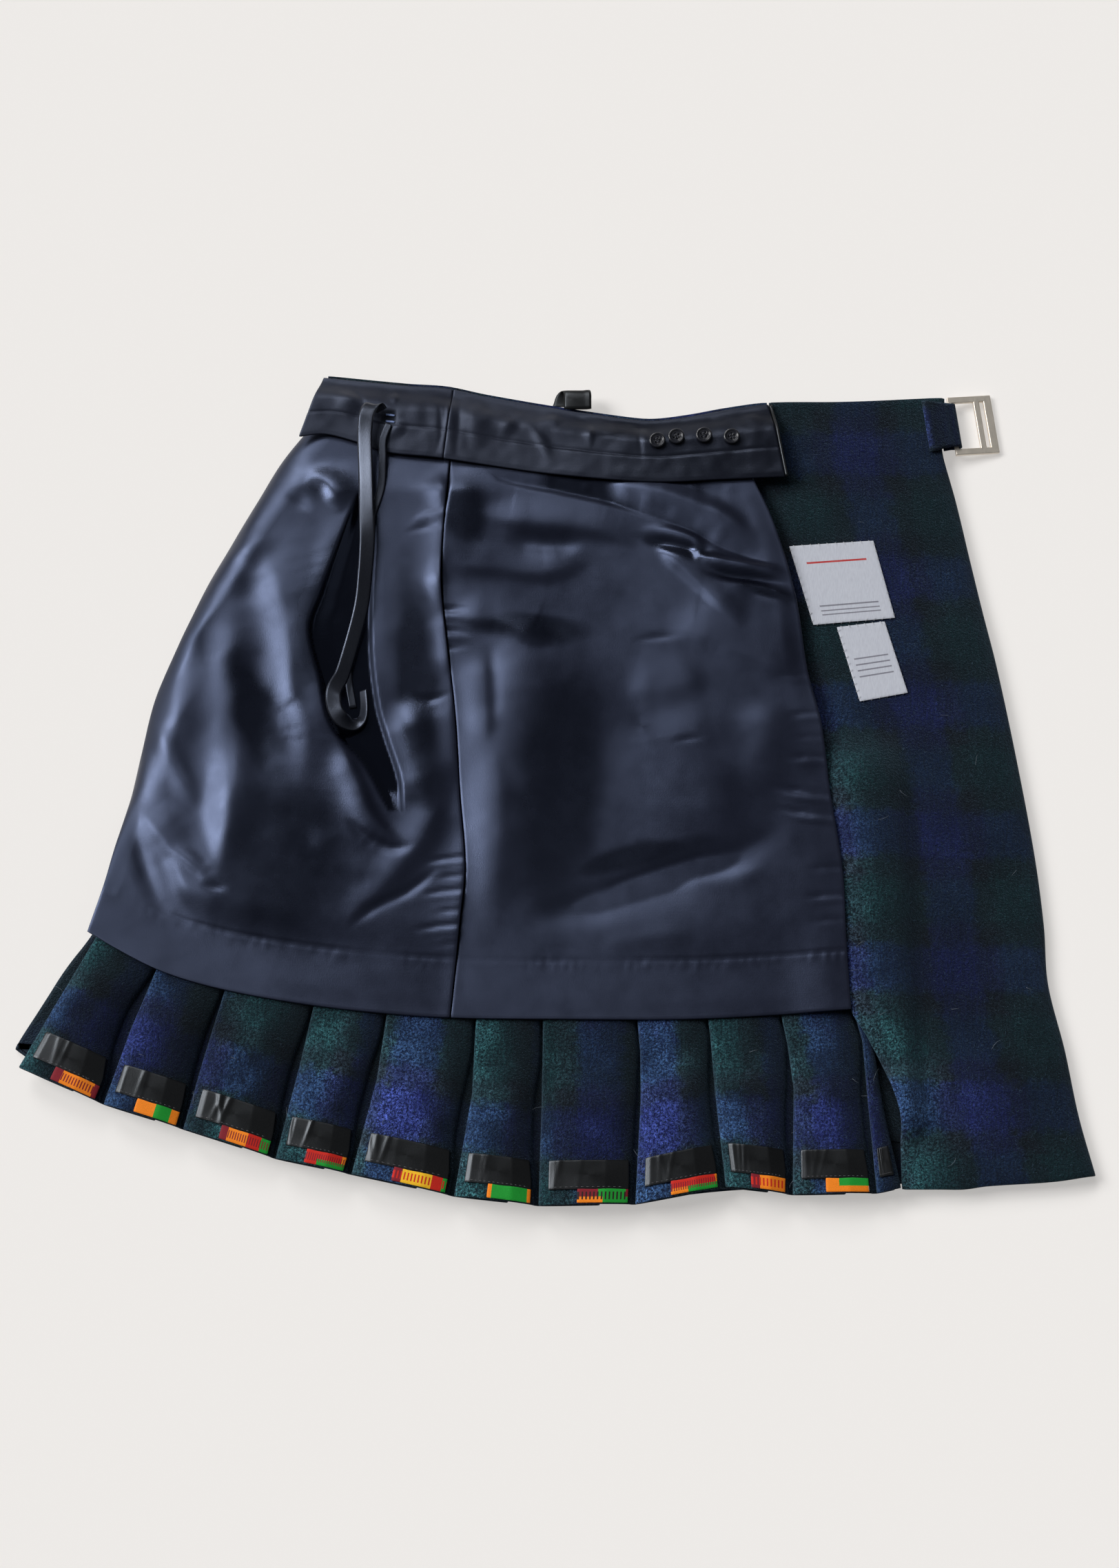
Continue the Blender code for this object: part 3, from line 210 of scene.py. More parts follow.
RIGHT_CREASES = [
    (3.2, 28, 3, (658, 660), (656, 700), (646, 770), (643, 850)),
    (3.4, 15, 7, (690, 742), (740, 756), (800, 762), (870, 770), (930, 790)),
    (-1.6, 6, 7, (730, 780), (786, 790), (850, 790)),
    (2.4, 15, 6, (648, 820), (720, 824), (790, 832), (860, 812)),
    (2.8, 4, 4, (922, 768), (968, 772), (1007, 786), (1017, 806), (1055, 816), (1114, 834), (1140, 846)),
    (-2.4, 3.5, 5, (930, 784), (968, 790), (1012, 800), (1040, 812)),
    (2.6, 3, 6, (1006, 812), (1050, 820), (1100, 824), (1150, 830)),
    (-2.2, 3, 4, (1010, 824), (1063, 836), (1122, 842), (1160, 850)),
    (1.6, 4, 6, (1030, 842), (1090, 852), (1140, 868), (1200, 884)),
    (-1.4, 2.5, 3, (1064, 858), (1120, 866), (1180, 884)),
    (3.0, 14, 6, (942, 778), (1020, 848), (1082, 914)),
    (3.2, 24, 8, (960, 916), (1030, 926), (1080, 950), (1176, 984)),
    (1.4, 18, 10, (905, 1004), (970, 1000), (1030, 974)),
    (-0.8, 2.0, 2.5, (912, 932), (950, 925), (1000, 922)),
    (-0.7, 1.8, 2.0, (968, 1080), (996, 1074), (1030, 1072)),
    (2.2, 16, 6, (648, 896), (719, 902), (770, 925), (806, 932)),
    (-0.9, 6, 8, (712, 930), (716, 1060)),
    (5.8, 44, 34, (772, 880), (760, 1000), (748, 1080), (742, 1200), (750, 1350)),
    (1.4, 6, 12, (700, 945), (706, 1085)),
    (1.6, 9, 18, (716, 1080), (722, 1200), (716, 1365)),
    (3.4, 28, 34, (1000, 1000), (1020, 1100), (1026, 1235)),
    (-3.4, 9, 17, (740, 1336), (779, 1328), (844, 1310), (922, 1288), (1004, 1262), (1065, 1241),
     (1150, 1196)),
    (-1.8, 5, 5, (870, 1290), (922, 1280), (962, 1266), (1010, 1252), (1066, 1240)),
    (0.9, 6, 8, (974, 1290), (1048, 1276), (1110, 1262)), (0.8, 6, 9, (860, 1376), (934, 1364),
     (1016, 1352)),
    (2.6, 16, 18, (1120, 1010), (1110, 1090), (1096, 1160)),
    (-0.9, 1.8, 1.8, (1116, 982), (1164, 978), (1290, 970)), (0.8, 2.0, 2.4, (1128, 990), (1164, 986),
     (1290, 980)),
    (-0.9, 1.6, 1.8, (1134, 1040), (1166, 1036), (1290, 1030)), (0.7, 2.0, 2.0, (1140, 1048), (1170, 1044),
     (1290, 1040)),
    (-0.8, 1.6, 1.6, (1140, 1072), (1172, 1070), (1290, 1068)), (-1.0, 1.6, 1.8, (1136, 1100),
     (1170, 1098), (1290, 1100)),
    (0.9, 2.0, 2.2, (1130, 1110), (1172, 1108), (1290, 1112)),
    (-1.2, 1.8, 2.2, (1108, 1136), (1150, 1146), (1190, 1152), (1290, 1160)),
    (1.0, 2.0, 2.4, (1110, 1146), (1150, 1157), (1190, 1162), (1290, 1170)),
    (-1.2, 1.8, 2.2, (1116, 1168), (1160, 1178), (1200, 1182), (1290, 1188)),
    (0.9, 2.0, 2.0, (1124, 1180), (1164, 1188), (1204, 1192), (1290, 1200)),
    (-0.7, 1.6, 1.6, (1164, 1262), (1190, 1260), (1290, 1256)), (-0.7, 1.5, 1.6, (1160, 1302),
     (1190, 1300), (1290, 1296)),
    (0.5, 1.8, 1.8, (1166, 1310), (1196, 1308), (1290, 1304)), (-0.6, 1.5, 1.5, (1168, 1338), (1200, 1336),
     (1290, 1330)),
    (-1.0, 1.8, 2.0, (610, 886), (664, 884), (690, 890)), (0.9, 1.8, 2.0, (610, 896), (664, 896),
     (694, 906)),
    (-1.0, 1.8, 2.0, (610, 914), (664, 916), (692, 924)), (0.8, 1.8, 2.0, (610, 924), (664, 926),
     (690, 934)),
    (-0.7, 1.5, 1.6, (610, 944), (664, 940), (686, 938))]

# Where shade is painted on the satin, darker and smoother: the middle, two half widths, and a turn, all in
# the photograph's pixels
PAINTED_SHADE_LEFT = [
    ((414, 1245), 96, 124, 10), ((455, 900), 34, 160, 10), ((372, 1040), 30, 120, -20),
    ((604, 1010), 34, 190, -4),
    ((480, 700), 60, 34, 20)]
PAINTED_SHADE_RIGHT = [
    ((808, 1150), 66, 190, 4), ((674, 745), 32, 64, 0), ((770, 912), 80, 20, 8),
    ((985, 795), 60, 14, 16), ((1090, 850), 70, 12, 14), ((925, 1245), 110, 18, -14)]
FACING_CREASES = [
    (1.3, 5, 9, (488, 566), (508, 584), (524, 604)), (-0.5, 2, 2, (506, 560), (524, 578), (532, 594)),
    (1.2, 5, 8, (566, 612), (588, 634)), (0.9, 2, 4, (574, 564), (572, 590)),
    (-0.5, 2, 2, (637, 580), (640, 634), (630, 664)), (1.0, 5, 2, (650, 574), (652, 660)),
    (-0.5, 3, 3, (668, 574), (664, 634), (661, 668)), (1.2, 10, 6, (690, 580), (688, 660)),
    (1.5, 4, 4, (766, 618), (784, 640), (800, 670)), (1.0, 5, 5, (740, 604), (730, 640)),
    (1.3, 5, 9, (800, 594), (806, 624)), (0.8, 2, 3, (857, 612), (857, 656)),
    (1.0, 7, 4, (930, 610), (938, 646), (936, 684)), (-0.5, 2, 2, (926, 612), (932, 672)),
    (0.9, 4, 4, (1010, 660), (1052, 688)), (0.6, 5, 5, (1075, 600), (1110, 612))]
APRON_CREASES = [
    (4.5, 16, 12, (1296, 1540), (1312, 1600), (1336, 1660)),
    (1.8, 18, 16, (1386, 800), (1430, 1000), (1442, 1300)),
    (1.8, 14, 14, (1328, 1020), (1350, 1200), (1390, 1420)),
    (1.4, 12, 12, (1466, 1330), (1500, 1620)),
    (1.2, 14, 10, (1240, 1000), (1262, 1180), (1270, 1380)),
    (-1.2, 8, 8, (1250, 640), (1300, 780)), (1.2, 12, 8, (1170, 600), (1180, 700))]
OPENING_LEFT = [
    (205, -138), (173, -148), (130, -161), (105, -168), (70, -160), (35, -151), (10, -130), (-24, -112)]
OPENING_RIGHT = [
    (205, -132), (184, -126), (131, -127), (86, -126), (50, -121), (29, -115), (0, -106), (-24, -104)]

BUTTONS = [(67, 240), (80, 243), (99, 244), (118, 243)]
RIBBON = [
    (-123, 262, 0.8, 0), (-126, 265, 4.5, 0), (-129, 263, 8.0, 0), (-132, 255, 9.5, 0),
    (-133, 240, 8.0, 12), (-132, 215, 7.5, 16), (-131, 190, 8.0, 10), (-130, 165, 7.5, -14),
    (-131, 140, 8.0, -26), (-133, 118, 8.0, -30), (-139, 94, 7.5, -32), (-145, 72, 7.0, -28),
    (-150, 58, 6.5, -10), (-149.5, 47, 6.0, 10), (-145, 39.5, 5.0, 14), (-138, 38, 3.5, 0),
    (-133, 42, 2.0, -34), (-132, 50, 1.2, -40), (-133, 62, 1.0, -40)]
RIBBON_REAR = [
    (-117, 252, 0.8, 0), (-121, 240, 1.4, 0), (-121, 225, 2.4, 0), (-122, 205, 1.4, 0), (-129, 180, 1.0, 0),
    (-133, 150, 0.8, 0), (-137, 110, 0.8, 0), (-142, 78, 0.8, 0), (-138, 50, 0.8, 0)]
LABEL_LARGE = [(172, 111), (227, 116), (157, 167), (214, 171)]
LABEL_SMALL = [(202, 57), (234, 63), (188, 109), (220, 113)]

BUCKLE_AT = Vector((272.5, 257.0, 6.2))
BUCKLE_TURN = math.radians(7.0)
BUCKLE_LEAN = math.radians(8.6)
BUCKLE_HALF_HEIGHT = 21.5
BUCKLE_RAIL = 4.5
BUCKLE_REACH = 30.0
BUCKLE_THICK = 2.8
BAR_RADIUS = 1.3
MIDDLE_BAR_AT = 19.2
MIDDLE_BAR_WIDTH = 4.2
OUTER_RAIL_WIDTH = 5.6
STRAP_WALL = 1.6
STRAP_HALF_HEIGHT = 15.8

# The strap's profile on both sides of its eye: distance from the bar, and height
STRAP_TOP = [(-20.0, 7.6), (-14.0, 7.5), (-8.0, 7.0), (-4.2, 6.1)]
STRAP_UNDER = [(-5.0, -2.9), (-9.0, -1.8), (-9.0, -0.2), (-5.0, -1.3)]
STRAP_LOW = [(-4.2, 4.6), (-8.0, 5.5), (-14.0, 5.9), (-20.0, 6.0)]

# The belt loop: y, height, shift to the side, and share of its width
BELT_LOOP = [
    (266.8, 13.9, 0.0, 1.0), (273.0, 14.1, 0.0, 1.0), (278.5, 13.9, 0.0, 1.0), (281.4, 12.2, -1.0, 1.0),
    (281.6, 9.2, -4.0, 0.9), (279.0, 7.4, -8.0, 0.75), (273.0, 7.0, -11.0, 0.6), (271.4, 7.4, -12.0, 0.6)]

# How strongly the tape puckers on each pleat
PUCKERS = [0.45, 0.4, 0.9, 0.8, 0.6, 0.2, 0.25, 0.35, 0.3, 0.25, 0.2]

SETT_BLUE = (0.0062, 0.0072, 0.060)
SETT_BLACK = (0.0028, 0.0027, 0.0045)
SETT_GREEN = (0.0028, 0.0140, 0.0165)
SETT_STOPS = [
    (0.0, SETT_BLUE), (0.12, SETT_BLUE), (0.22, SETT_BLACK), (0.28, SETT_BLACK), (0.40, SETT_GREEN),
    (0.60, SETT_GREEN), (0.72, SETT_BLACK), (0.78, SETT_BLACK), (0.88, SETT_BLUE), (1.0, SETT_BLUE)]

ORANGE = (0.95, 0.25, 0.01)
YELLOW = (0.98, 0.55, 0.02)
GREEN = (0.01, 0.32, 0.03)
RED = (0.62, 0.02, 0.01)
WINE = (0.22, 0.01, 0.02)
DARK = (0.02, 0.01, 0.01)

# The printed scraps: blocks of colour, bars in the comb, the comb's colour, and the lower band
PRINTS = [
    ([(0.0, WINE), (0.18, ORANGE), (0.9, WINE)], 16.0),
    ([(0.0, ORANGE), (0.45, GREEN), (0.82, ORANGE)],),
    ([(0.0, WINE), (0.14, ORANGE), (0.55, RED), (0.82, GREEN)], 20.0),
    ([(0.0, RED), (0.9, ORANGE)], 18.0, WINE, [(0.0, RED), (0.3, GREEN)]),
    ([(0.0, WINE), (0.16, YELLOW), (0.72, RED), (0.92, GREEN)], 15.0, RED),
    ([(0.0, ORANGE), (0.08, GREEN), (0.92, ORANGE)],),
    ([(0.0, WINE), (0.4, GREEN), (0.95, WINE)], 13.0, DARK, [(0.0, ORANGE), (0.5, GREEN)]),
    ([(0.0, RED), (0.96, ORANGE)], 20.0, WINE, [(0.0, ORANGE), (0.36, GREEN)]),
    ([(0.0, WINE), (0.24, ORANGE)], 9.0, RED),
    ([(0.0, ORANGE), (0.3, GREEN)], 0.0, WINE, [(0.0, ORANGE)])]

# The labels' plain rules: from, to and colour
LABEL_WHITE = (0.52, 0.54, 0.60)
RULE_GREY = (0.20, 0.20, 0.24)
LARGE_RULES = [
    (0.10, 0.115, RULE_GREY), (0.15, 0.165, RULE_GREY), (0.21, 0.23, RULE_GREY),
    (0.76, 0.785, (0.45, 0.03, 0.03))]
SMALL_RULES = [(low, low + 0.02, RULE_GREY) for low in (0.30, 0.38, 0.46, 0.54)]

# The light: strength, width in degrees, and the way to it
LIGHTS = [
    ("window_west", 2.75, 28.0, (-0.70, 0.24, 0.62)),
    ("window_north", 1.15, 26.0, (-0.30, 0.66, 0.66)),
    ("fill", 0.08, 60.0, (0.5, -0.2, 0.84))]


def ease(t):
    """Rise smoothly from nought to one."""
    t = np.clip(t, 0.0, 1.0)
    return t * t * (3.0 - 2.0 * t)


def blend(a, b, t):
    """Mix two values."""
    return a + (b - a) * t


def bell(t):
    """One at nought, and soon nothing on both sides."""
    return np.exp(-t ** 2)


def rounded(distance, reach):
    """Rise from nought to one as a rounded edge does."""
    bend = np.clip(distance / reach, 0.0, 1.0)
    return np.sqrt(np.maximum(1.0 - (1.0 - bend) ** 2, 0.0))


def around(radius, degrees):
    """A place on a circle."""
    angle = math.radians(degrees)
    return radius * math.cos(angle), radius * math.sin(angle)


def length_of(steps):
    """The length of each step."""
    return np.linalg.norm(steps, axis=-1)


def bridge(start, end, rise, t):
    """How far a smooth curve has risen, from its slopes at both ends."""
    return start * t + (3 * rise - 2 * start - end) * t * t + (start + end - 2 * rise) * t ** 3


def curve(rows, at):
    """Read a table on a smooth curve through its rows."""
    keys, values = np.array(sorted(rows), float).T
    at = np.asarray(at, float)
    k = np.clip(np.searchsorted(keys, at, side="right") - 1, 0, len(keys) - 2)
    span = keys[k + 1] - keys[k]
    order = np.arange(len(keys))
    low = np.maximum(order - 1, 0)
    high = np.minimum(order + 1, len(keys) - 1)
    slopes = (values[high] - values[low]) / (keys[high] - keys[low])
    t = np.clip((at - keys[k]) / span, 0.0, 1.0)
    return values[k] + bridge(slopes[k] * span, slopes[k + 1] * span, values[k + 1] - values[k], t)


def spread(points, pieces):
    """Points on a smooth curve through a route, a few to each stretch."""
    points = np.asarray(points, float)
    full = []
    for i in range(len(points) - 1):
        start = 0.5 * (points[i + 1] - points[max(i - 1, 0)])
        end = 0.5 * (points[min(i + 2, len(points) - 1)] - points[i])
        rise = points[i + 1] - points[i]
        full += [points[i] + bridge(start, end, rise, k / pieces) for k in range(pieces)]
    return np.array(full + [points[-1]])


def smooth_line(points, rounds=2, closed=False):
    """Cut the corners of a line of points until it runs smoothly."""
    points = np.asarray(points, float)
    for _ in range(rounds):
        ahead = np.roll(points, -1, axis=0)
        both = np.stack([0.75 * points + 0.25 * ahead, 0.25 * points + 0.75 * ahead], axis=1)
        if closed:
            points = both.reshape(-1, points.shape[1])
        else:
            inner = both[:-1].reshape(-1, points.shape[1])
            points = np.concatenate([points[:1], inner[1:-1], points[-1:]])
    return points


def wander(x, y, cell, seed):
    """A smooth uneven height between minus one and one, from a seeded grid of numbers."""
    grid = np.random.default_rng(seed).uniform(-1.0, 1.0, (64, 64))
    a = np.asarray(x, float) / cell + 1000.0
    b = np.asarray(y, float) / cell + 1000.0
    i = np.floor(a).astype(int)
    j = np.floor(b).astype(int)
    low = blend(grid[i % 64, j % 64], grid[(i + 1) % 64, j % 64], ease(a - i))
    high = blend(grid[i % 64, (j + 1) % 64], grid[(i + 1) % 64, (j + 1) % 64], ease(a - i))
    return blend(low, high, ease(b - j))


def spot(u, v, z=20.0):
    """The place, at a height, that shows at a pixel of the photograph's frame."""
    across = np.array(((u - 0.5 * PHOTO[0]) / FOCAL, 0.0, 0.0))
    ray = across + UPWARD * ((0.5 * PHOTO[1] - v) / FOCAL) - BACKWARD
    eye = LOOK + BACKWARD * DISTANCE
    return (eye + ray * ((z - eye[2]) / ray[2]))[:2]


def crease_height(x, y, crease):
    """The height of one crease: a width for each of its sides, and ends that run out."""
    height, left, right = crease[:3]
    route = spread([spot(u, v) for u, v in crease[3:]], 3)
    steps = np.diff(route, axis=0)
    lengths = length_of(steps)
    run = np.concatenate([[0.0], np.cumsum(lengths)])
    nearest = np.full(np.shape(x), 1e9)
    side = np.zeros(np.shape(x))
    along = np.zeros(np.shape(x))
    for (x0, y0), (dx, dy), length, start in zip(route, steps, lengths, run):
        t = np.clip(((x - x0) * dx + (y - y0) * dy) / length ** 2, 0.0, 1.0)
        a = x - x0 - t * dx
        b = y - y0 - t * dy
        nearer = np.hypot(a, b) < nearest
        nearest = np.where(nearer, np.hypot(a, b), nearest)
        side = np.where(nearer, dx * b - dy * a, side)
        along = np.where(nearer, (start + t * length) / run[-1], along)
    run_out = 0.5 if run[-1] < SHORT_CREASE else 0.3
    ends = ease(along / run_out) * ease((1.0 - along) / run_out)
    width = np.where(side > 0.0, left, right) * blend(0.6, 1.0, ends)
    return height * ends * bell(nearest / width)


def creased(x, y, creases):
    """The height that a table of creases adds."""
    return sum(crease_height(x, y, crease) for crease in creases)


def opening_at(x, y):
    """How far a place is inside the left rim, the right rim and the nearer end of the deep fold."""
    end = np.minimum(OPENING_LEFT[0][0] - y, y - OPENING_LEFT[-1][0])
    return x - curve(OPENING_LEFT, y), curve(OPENING_RIGHT, y) - x, end


def in_opening(x, y, level):
    """The deep fold beside the seam: a steep near side, and a floor that falls to its steep far side."""
    left, right, end = opening_at(x, y)
    share = np.clip(left / np.maximum(left + right, 1.0), 0.0, 1.0)
    floor = blend(LINING_REST + 2.0, LINING_LOWEST, ease(share / 0.4))
    inside = ease(left / 2.4 + 0.5) * ease(right / 1.8 + 0.5) * ease(end / 20.0)
    lip = 1.4 * bell((left + 1.5) / 11.0) * ease(end / 40.0)
    return blend(level + np.where(left < 4.0, lip, 0.0), floor, inside)


def painted_shade_part(x, y, patches):
    """How far a place is inside the stretches of the satin where shade is painted, darker and smoother."""
    total = np.zeros(np.shape(x))
    for (u, v), wide, tall, turn in patches:
        centre_x, centre_y = spot(u, v)
        cos, sin = around(1.0, turn)
        a = (x - centre_x) * cos - (y - centre_y) * sin + 3.0 * wander(x, y, 14.0, 61)
        b = (x - centre_x) * sin + (y - centre_y) * cos + 4.0 * wander(x, y, 18.0, 62)
        reach = np.hypot(a / (wide * PHOTO_SCALE), b / (tall * PHOTO_SCALE))
        total = np.maximum(total, ease((1.35 - reach) / 0.8))
    return total


def lining_height(x, y):
    """The underside of the lining: slack cloth over the pleats, with its folds."""
    from_left = x - curve(LINING_LEFT, y)
    from_right = curve(LINING_RIGHT, y) - x
    from_seam = x - curve(LINING_SEAM, y)
    to_hem = y - curve(LINING_HEM, x)
    edge_rest = blend(OUTER_EDGE_REST, LINING_REST, ease(-y / 55.0))
    slack = blend(0.15, 1.0, ease((to_hem - 30.0) / 34.0)) * ease(to_hem / 14.0)
    slack = slack * ease((232.0 - y) / 30.0) * blend(0.5, 1.0, ease(from_right / 14.0))
    over_apron = ease((48.0 - from_right) / 38.0) * ease((90.0 - y) / 50.0)
    level = LINING_REST + 2.4 * slack
    level = level + np.maximum(LINING_OVER_APRON - level, 0.0) * over_apron
    folds = np.where(from_seam < 0.0, creased(x, y, LEFT_CREASES), creased(x, y, RIGHT_CREASES))
    level = level + slack * folds
    hollow = (ease((y - curve(LINING_DROOP, x) + 1.0) / 4.5) * ease(from_seam / 8.0)
              * ease((150.0 - x) / 34.0))
    tuck = crease_height(x, y, TUCK) + 0.3 * wander(x, y, 9.0, 8)
    level = blend(level, LINING_REST + 0.5 + np.maximum(tuck, 0.0), hollow)
    level = np.maximum(level, blend(LINING_LOWEST, 20.5, over_apron))
    level = in_opening(x, y, level)
    step = np.where(from_seam < 0.0, 0.5 * bell(from_seam / 6.0), -0.6 * bell(from_seam / 12.0))
    level = np.maximum(level + step * ease((236.0 - y) / 10.0), LINING_LOWEST)
    patchy = ease(0.5 + 0.9 * wander(x, y, 30.0, 32))
    pucker = 0.3 * wander(x, 0.4 * y, 3.0, 31) * bell((to_hem - 36.0) / 4.0) * patchy
    hem_stitch = 0.6 * bell((to_hem - 38.5) / 1.1) * ease((from_left - 20.0) / 10.0)
    level = level - hem_stitch * blend(0.3, 1.0, patchy) + pucker
    under_facing = ease((y - curve(FACING_LOW, x) + 2.0) / 5.0)
    level = blend(level, np.minimum(level, LINING_UNDER_FACING), under_facing)
    bend = rounded(from_left, 26.0 + 12.0 * wander(0.3 * x, y, 34.0, 33))
    return edge_rest + (level - edge_rest) * bend


def facing_height(x, share):
    """The underside of the facing, from its top edge (0) to its lower edge (1)."""
    wave = 0.5 * np.sin(x / 17.0) * ease((share - 0.1) / 0.2) * ease((40.0 - x) / 30.0)
    return blend(FACING_EDGE, FACING_LEVEL, ease(share / 0.42)) + wave


def facing_detail(x, y, share):
    """The creases of the facing, the stitched line along it, and its slot."""
    body = ease(share / 0.12) * ease((1.0 - share) / 0.05)
    small = 0.22 * wander(x, y, 7.0, 51) + 0.3 * wander(x, y, 15.0, 52)
    step = 0.35 * ease((share - 0.62) / 0.04) - 0.45 * bell((share - 0.62) / 0.022)
    slot_x, slot_y = spot(560, 603, 22.0)
    slot = np.exp(-(((x - slot_x) / 7.0) ** 4 + ((y - slot_y) / 4.4) ** 4))
    creases = np.maximum(creased(x, y, FACING_CREASES), -0.5) * blend(1.0, 0.6, ease((x - 10.0) / 30.0))
    return body * (creases + small + step) - 1.0 * slot


def facing_top_at(x, y):
    """The upper face of the facing at a place."""
    top = curve(WAIST_TOP, x) - 2.0
    share = (top - y) / (top - curve(FACING_LOW, x))
    return facing_height(x, share) + facing_detail(x, y, share) + FACING_WALL


def apron_left(y):
    """The apron's left edge: under the lining, and free below its hem."""
    beside_facing = 154.5 + (215.0 - y) * 0.155
    x = blend(curve(LINING_RIGHT, y) - 8.0, curve(APRON_FREE, y), ease((-118.0 - y) / 24.0))
    return blend(x, beside_facing, ease((y - 226.0) / 10.0))


def apron_height(x, y):
    """The underside of the apron: on the folded back, and over the last pleat."""
    over = ease((240.0 - x) / 20.0) * ease((40.0 - y) / 40.0) * ease((y + 246.0) / 26.0)
    level = blend(APRON_REST, APRON_OVER_PLEATS, over)
    level = level + np.maximum(creased(x, y, APRON_CREASES), -0.8)
    edge_rest = blend(OUTER_EDGE_REST, WAIST_CORNER_REST, ease((y - 205.0) / 25.0))
    return edge_rest + (level - edge_rest) * rounded(curve(APRON_RIGHT, y) - x, APRON_BEND)


def rest_height(x, y):
    """The top of the lining or the facing at a place, as the ribbon meets it."""
    on_facing = y > curve(FACING_LOW, x) - 1.0
    return np.where(on_facing, facing_top_at(x, y), lining_height(x, y) + LINING_WALL)


def highest(height_at, x, y, across, along):
    """The highest that a cloth gets round a place."""
    return np.max([height_at(x + dx, y + dy) for dx in across for dy in along], axis=0)


def made(name, mesh, finish, body="kilt", nodes=()):
    """Put a mesh in the scene: it rides on a body and may stand for CAD nodes."""
    piece = bpy.data.objects.new(name, mesh)
    bpy.context.scene.collection.objects.link(piece)
    mesh.materials.append(finish)
    mesh.shade_smooth()
    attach(piece, body)
    if nodes:
        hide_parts(*nodes)
    return piece


def mesh_of(name, points, faces, uvs=None, painted_light=None):
    """A mesh from millimetre points, with its cloth's map and the map of its painted light and shade, where
    it has them.
    """
    mesh = bpy.data.meshes.new(name)
    places = (np.asarray(points, float) + SHIFT) * MM
    mesh.from_pydata([tuple(p) for p in places.tolist()], [], faces)
    for layer_name, values in (("cloth", uvs), ("painted_light", painted_light)):
        if values is not None:
            layer = mesh.uv_layers.new(name=layer_name)
            corners = np.empty(len(mesh.loops), np.int32)
            mesh.loops.foreach_get("vertex_index", corners)
            layer.uv.foreach_set("vector", np.asarray(values, np.float32)[corners].ravel())
    mesh.update()
    return mesh


def shell(name, middle, wall, uvs=None, painted_light=None):
    """A wall of cloth round a grid of middle points, closed by rounded edges."""
    rows, columns = middle.shape[:2]
    along = np.gradient(middle, axis=1)
    across = np.gradient(middle, axis=0)
    normal = np.cross(along, across)
    normal /= np.maximum(np.linalg.norm(normal, axis=2, keepdims=True), 1e-9)
    half = 0.5 * wall
    count = rows * columns
    points = [(middle + normal * half).reshape(-1, 3), (middle - normal * half).reshape(-1, 3)]
    index = np.arange(count).reshape(rows, columns)
    quads = np.stack([index[:-1, :-1], index[:-1, 1:], index[1:, 1:], index[1:, :-1]], axis=2).reshape(-1, 4)
    faces = quads.tolist() + (quads[:, ::-1] + count).tolist()
    loop = list(index[0, :]) + list(index[1:, -1]) + list(index[-1, -2::-1]) + list(index[-2:0:-1, 0])
    outward = np.zeros((rows, columns, 3))
    for edge, sign, way in ((np.s_[0, :], -1, across), (np.s_[-1, :], 1, across),
                            (np.s_[:, 0], -1, along), (np.s_[:, -1], 1, along)):
        outward[edge] += sign * way[edge] / np.linalg.norm(way[edge], axis=1, keepdims=True)
    edge_out = outward.reshape(-1, 3)[loop]
    edge_out /= np.linalg.norm(edge_out, axis=1, keepdims=True)
    edge_middle = middle.reshape(-1, 3)[loop]
    edge_normal = normal.reshape(-1, 3)[loop]
    rings = [np.array(loop)]
    start = 2 * count
    for angle in (45.0, 90.0, 135.0):
        up, out = around(half, angle)
        points.append(edge_middle + edge_normal * up + edge_out * out)
        rings.append(np.arange(start, start + len(loop)))
        start += len(loop)
    rings.append(np.array(loop) + count)
    for high, low in zip(rings, rings[1:]):
        faces += np.stack([high, low, np.roll(low, -1), np.roll(high, -1)], axis=1).tolist()
    maps = []
    for values in (uvs, painted_light):
        if values is not None:
            flat = np.asarray(values, float).reshape(rows * columns, -1)
            if flat.shape[1] == 1:
                flat = np.column_stack([flat[:, 0], np.zeros(len(flat))])
            values = np.concatenate([flat, flat] + [flat[loop]] * 3)
        maps.append(values)
    return mesh_of(name, np.concatenate(points), faces, *maps)


def ring_faces(start, stations, count):
    """The faces of a tube of rings, and its two caps."""
    faces = []
    for base in range(start, start + (stations - 1) * count, count):
        for i in range(count):
            j = (i + 1) % count
            faces.append((base + i, base + j, base + count + j, base + count + i))
    last = start + (stations - 1) * count
    faces.append(tuple(range(start + count - 1, start - 1, -1)))
    faces.append(tuple(range(last, last + count)))
    return faces


def loft(name, rings, uvs=None, painted_light=None):
    """Join rings of the same number of points, and cap the ends."""
    rings = np.asarray(rings, float)
    mesh = mesh_of(name, rings.reshape(-1, 3), ring_faces(0, *rings.shape[:2]), uvs, painted_light)
    bm = bmesh.new()
    bm.from_mesh(mesh)
    bmesh.ops.recalc_face_normals(bm, faces=bm.faces)
    bm.to_mesh(mesh)
    bm.free()
    return mesh


def lay(name, node, middle, wall, finish, uvs=None, painted_light=None):
    """Make a wall of cloth that stands for a node, and work out the size its grid has when it is laid out.
    """
    piece = made(name, shell(name, middle, wall, uvs, painted_light), finish, nodes=(node,))
    width, length = [max(float(length_of(np.diff(middle, axis=axis)).sum(axis=axis).max()) * MM, SHEET_LEAST)
                     for axis in (1, 0)]
    cells = np.cross(middle[1:, :-1] - middle[:-1, :-1], middle[:-1, 1:] - middle[:-1, :-1])
    area = float(length_of(cells).sum()) * MM * MM
    area = min(max(area, 0.31 * width * length), width * length)


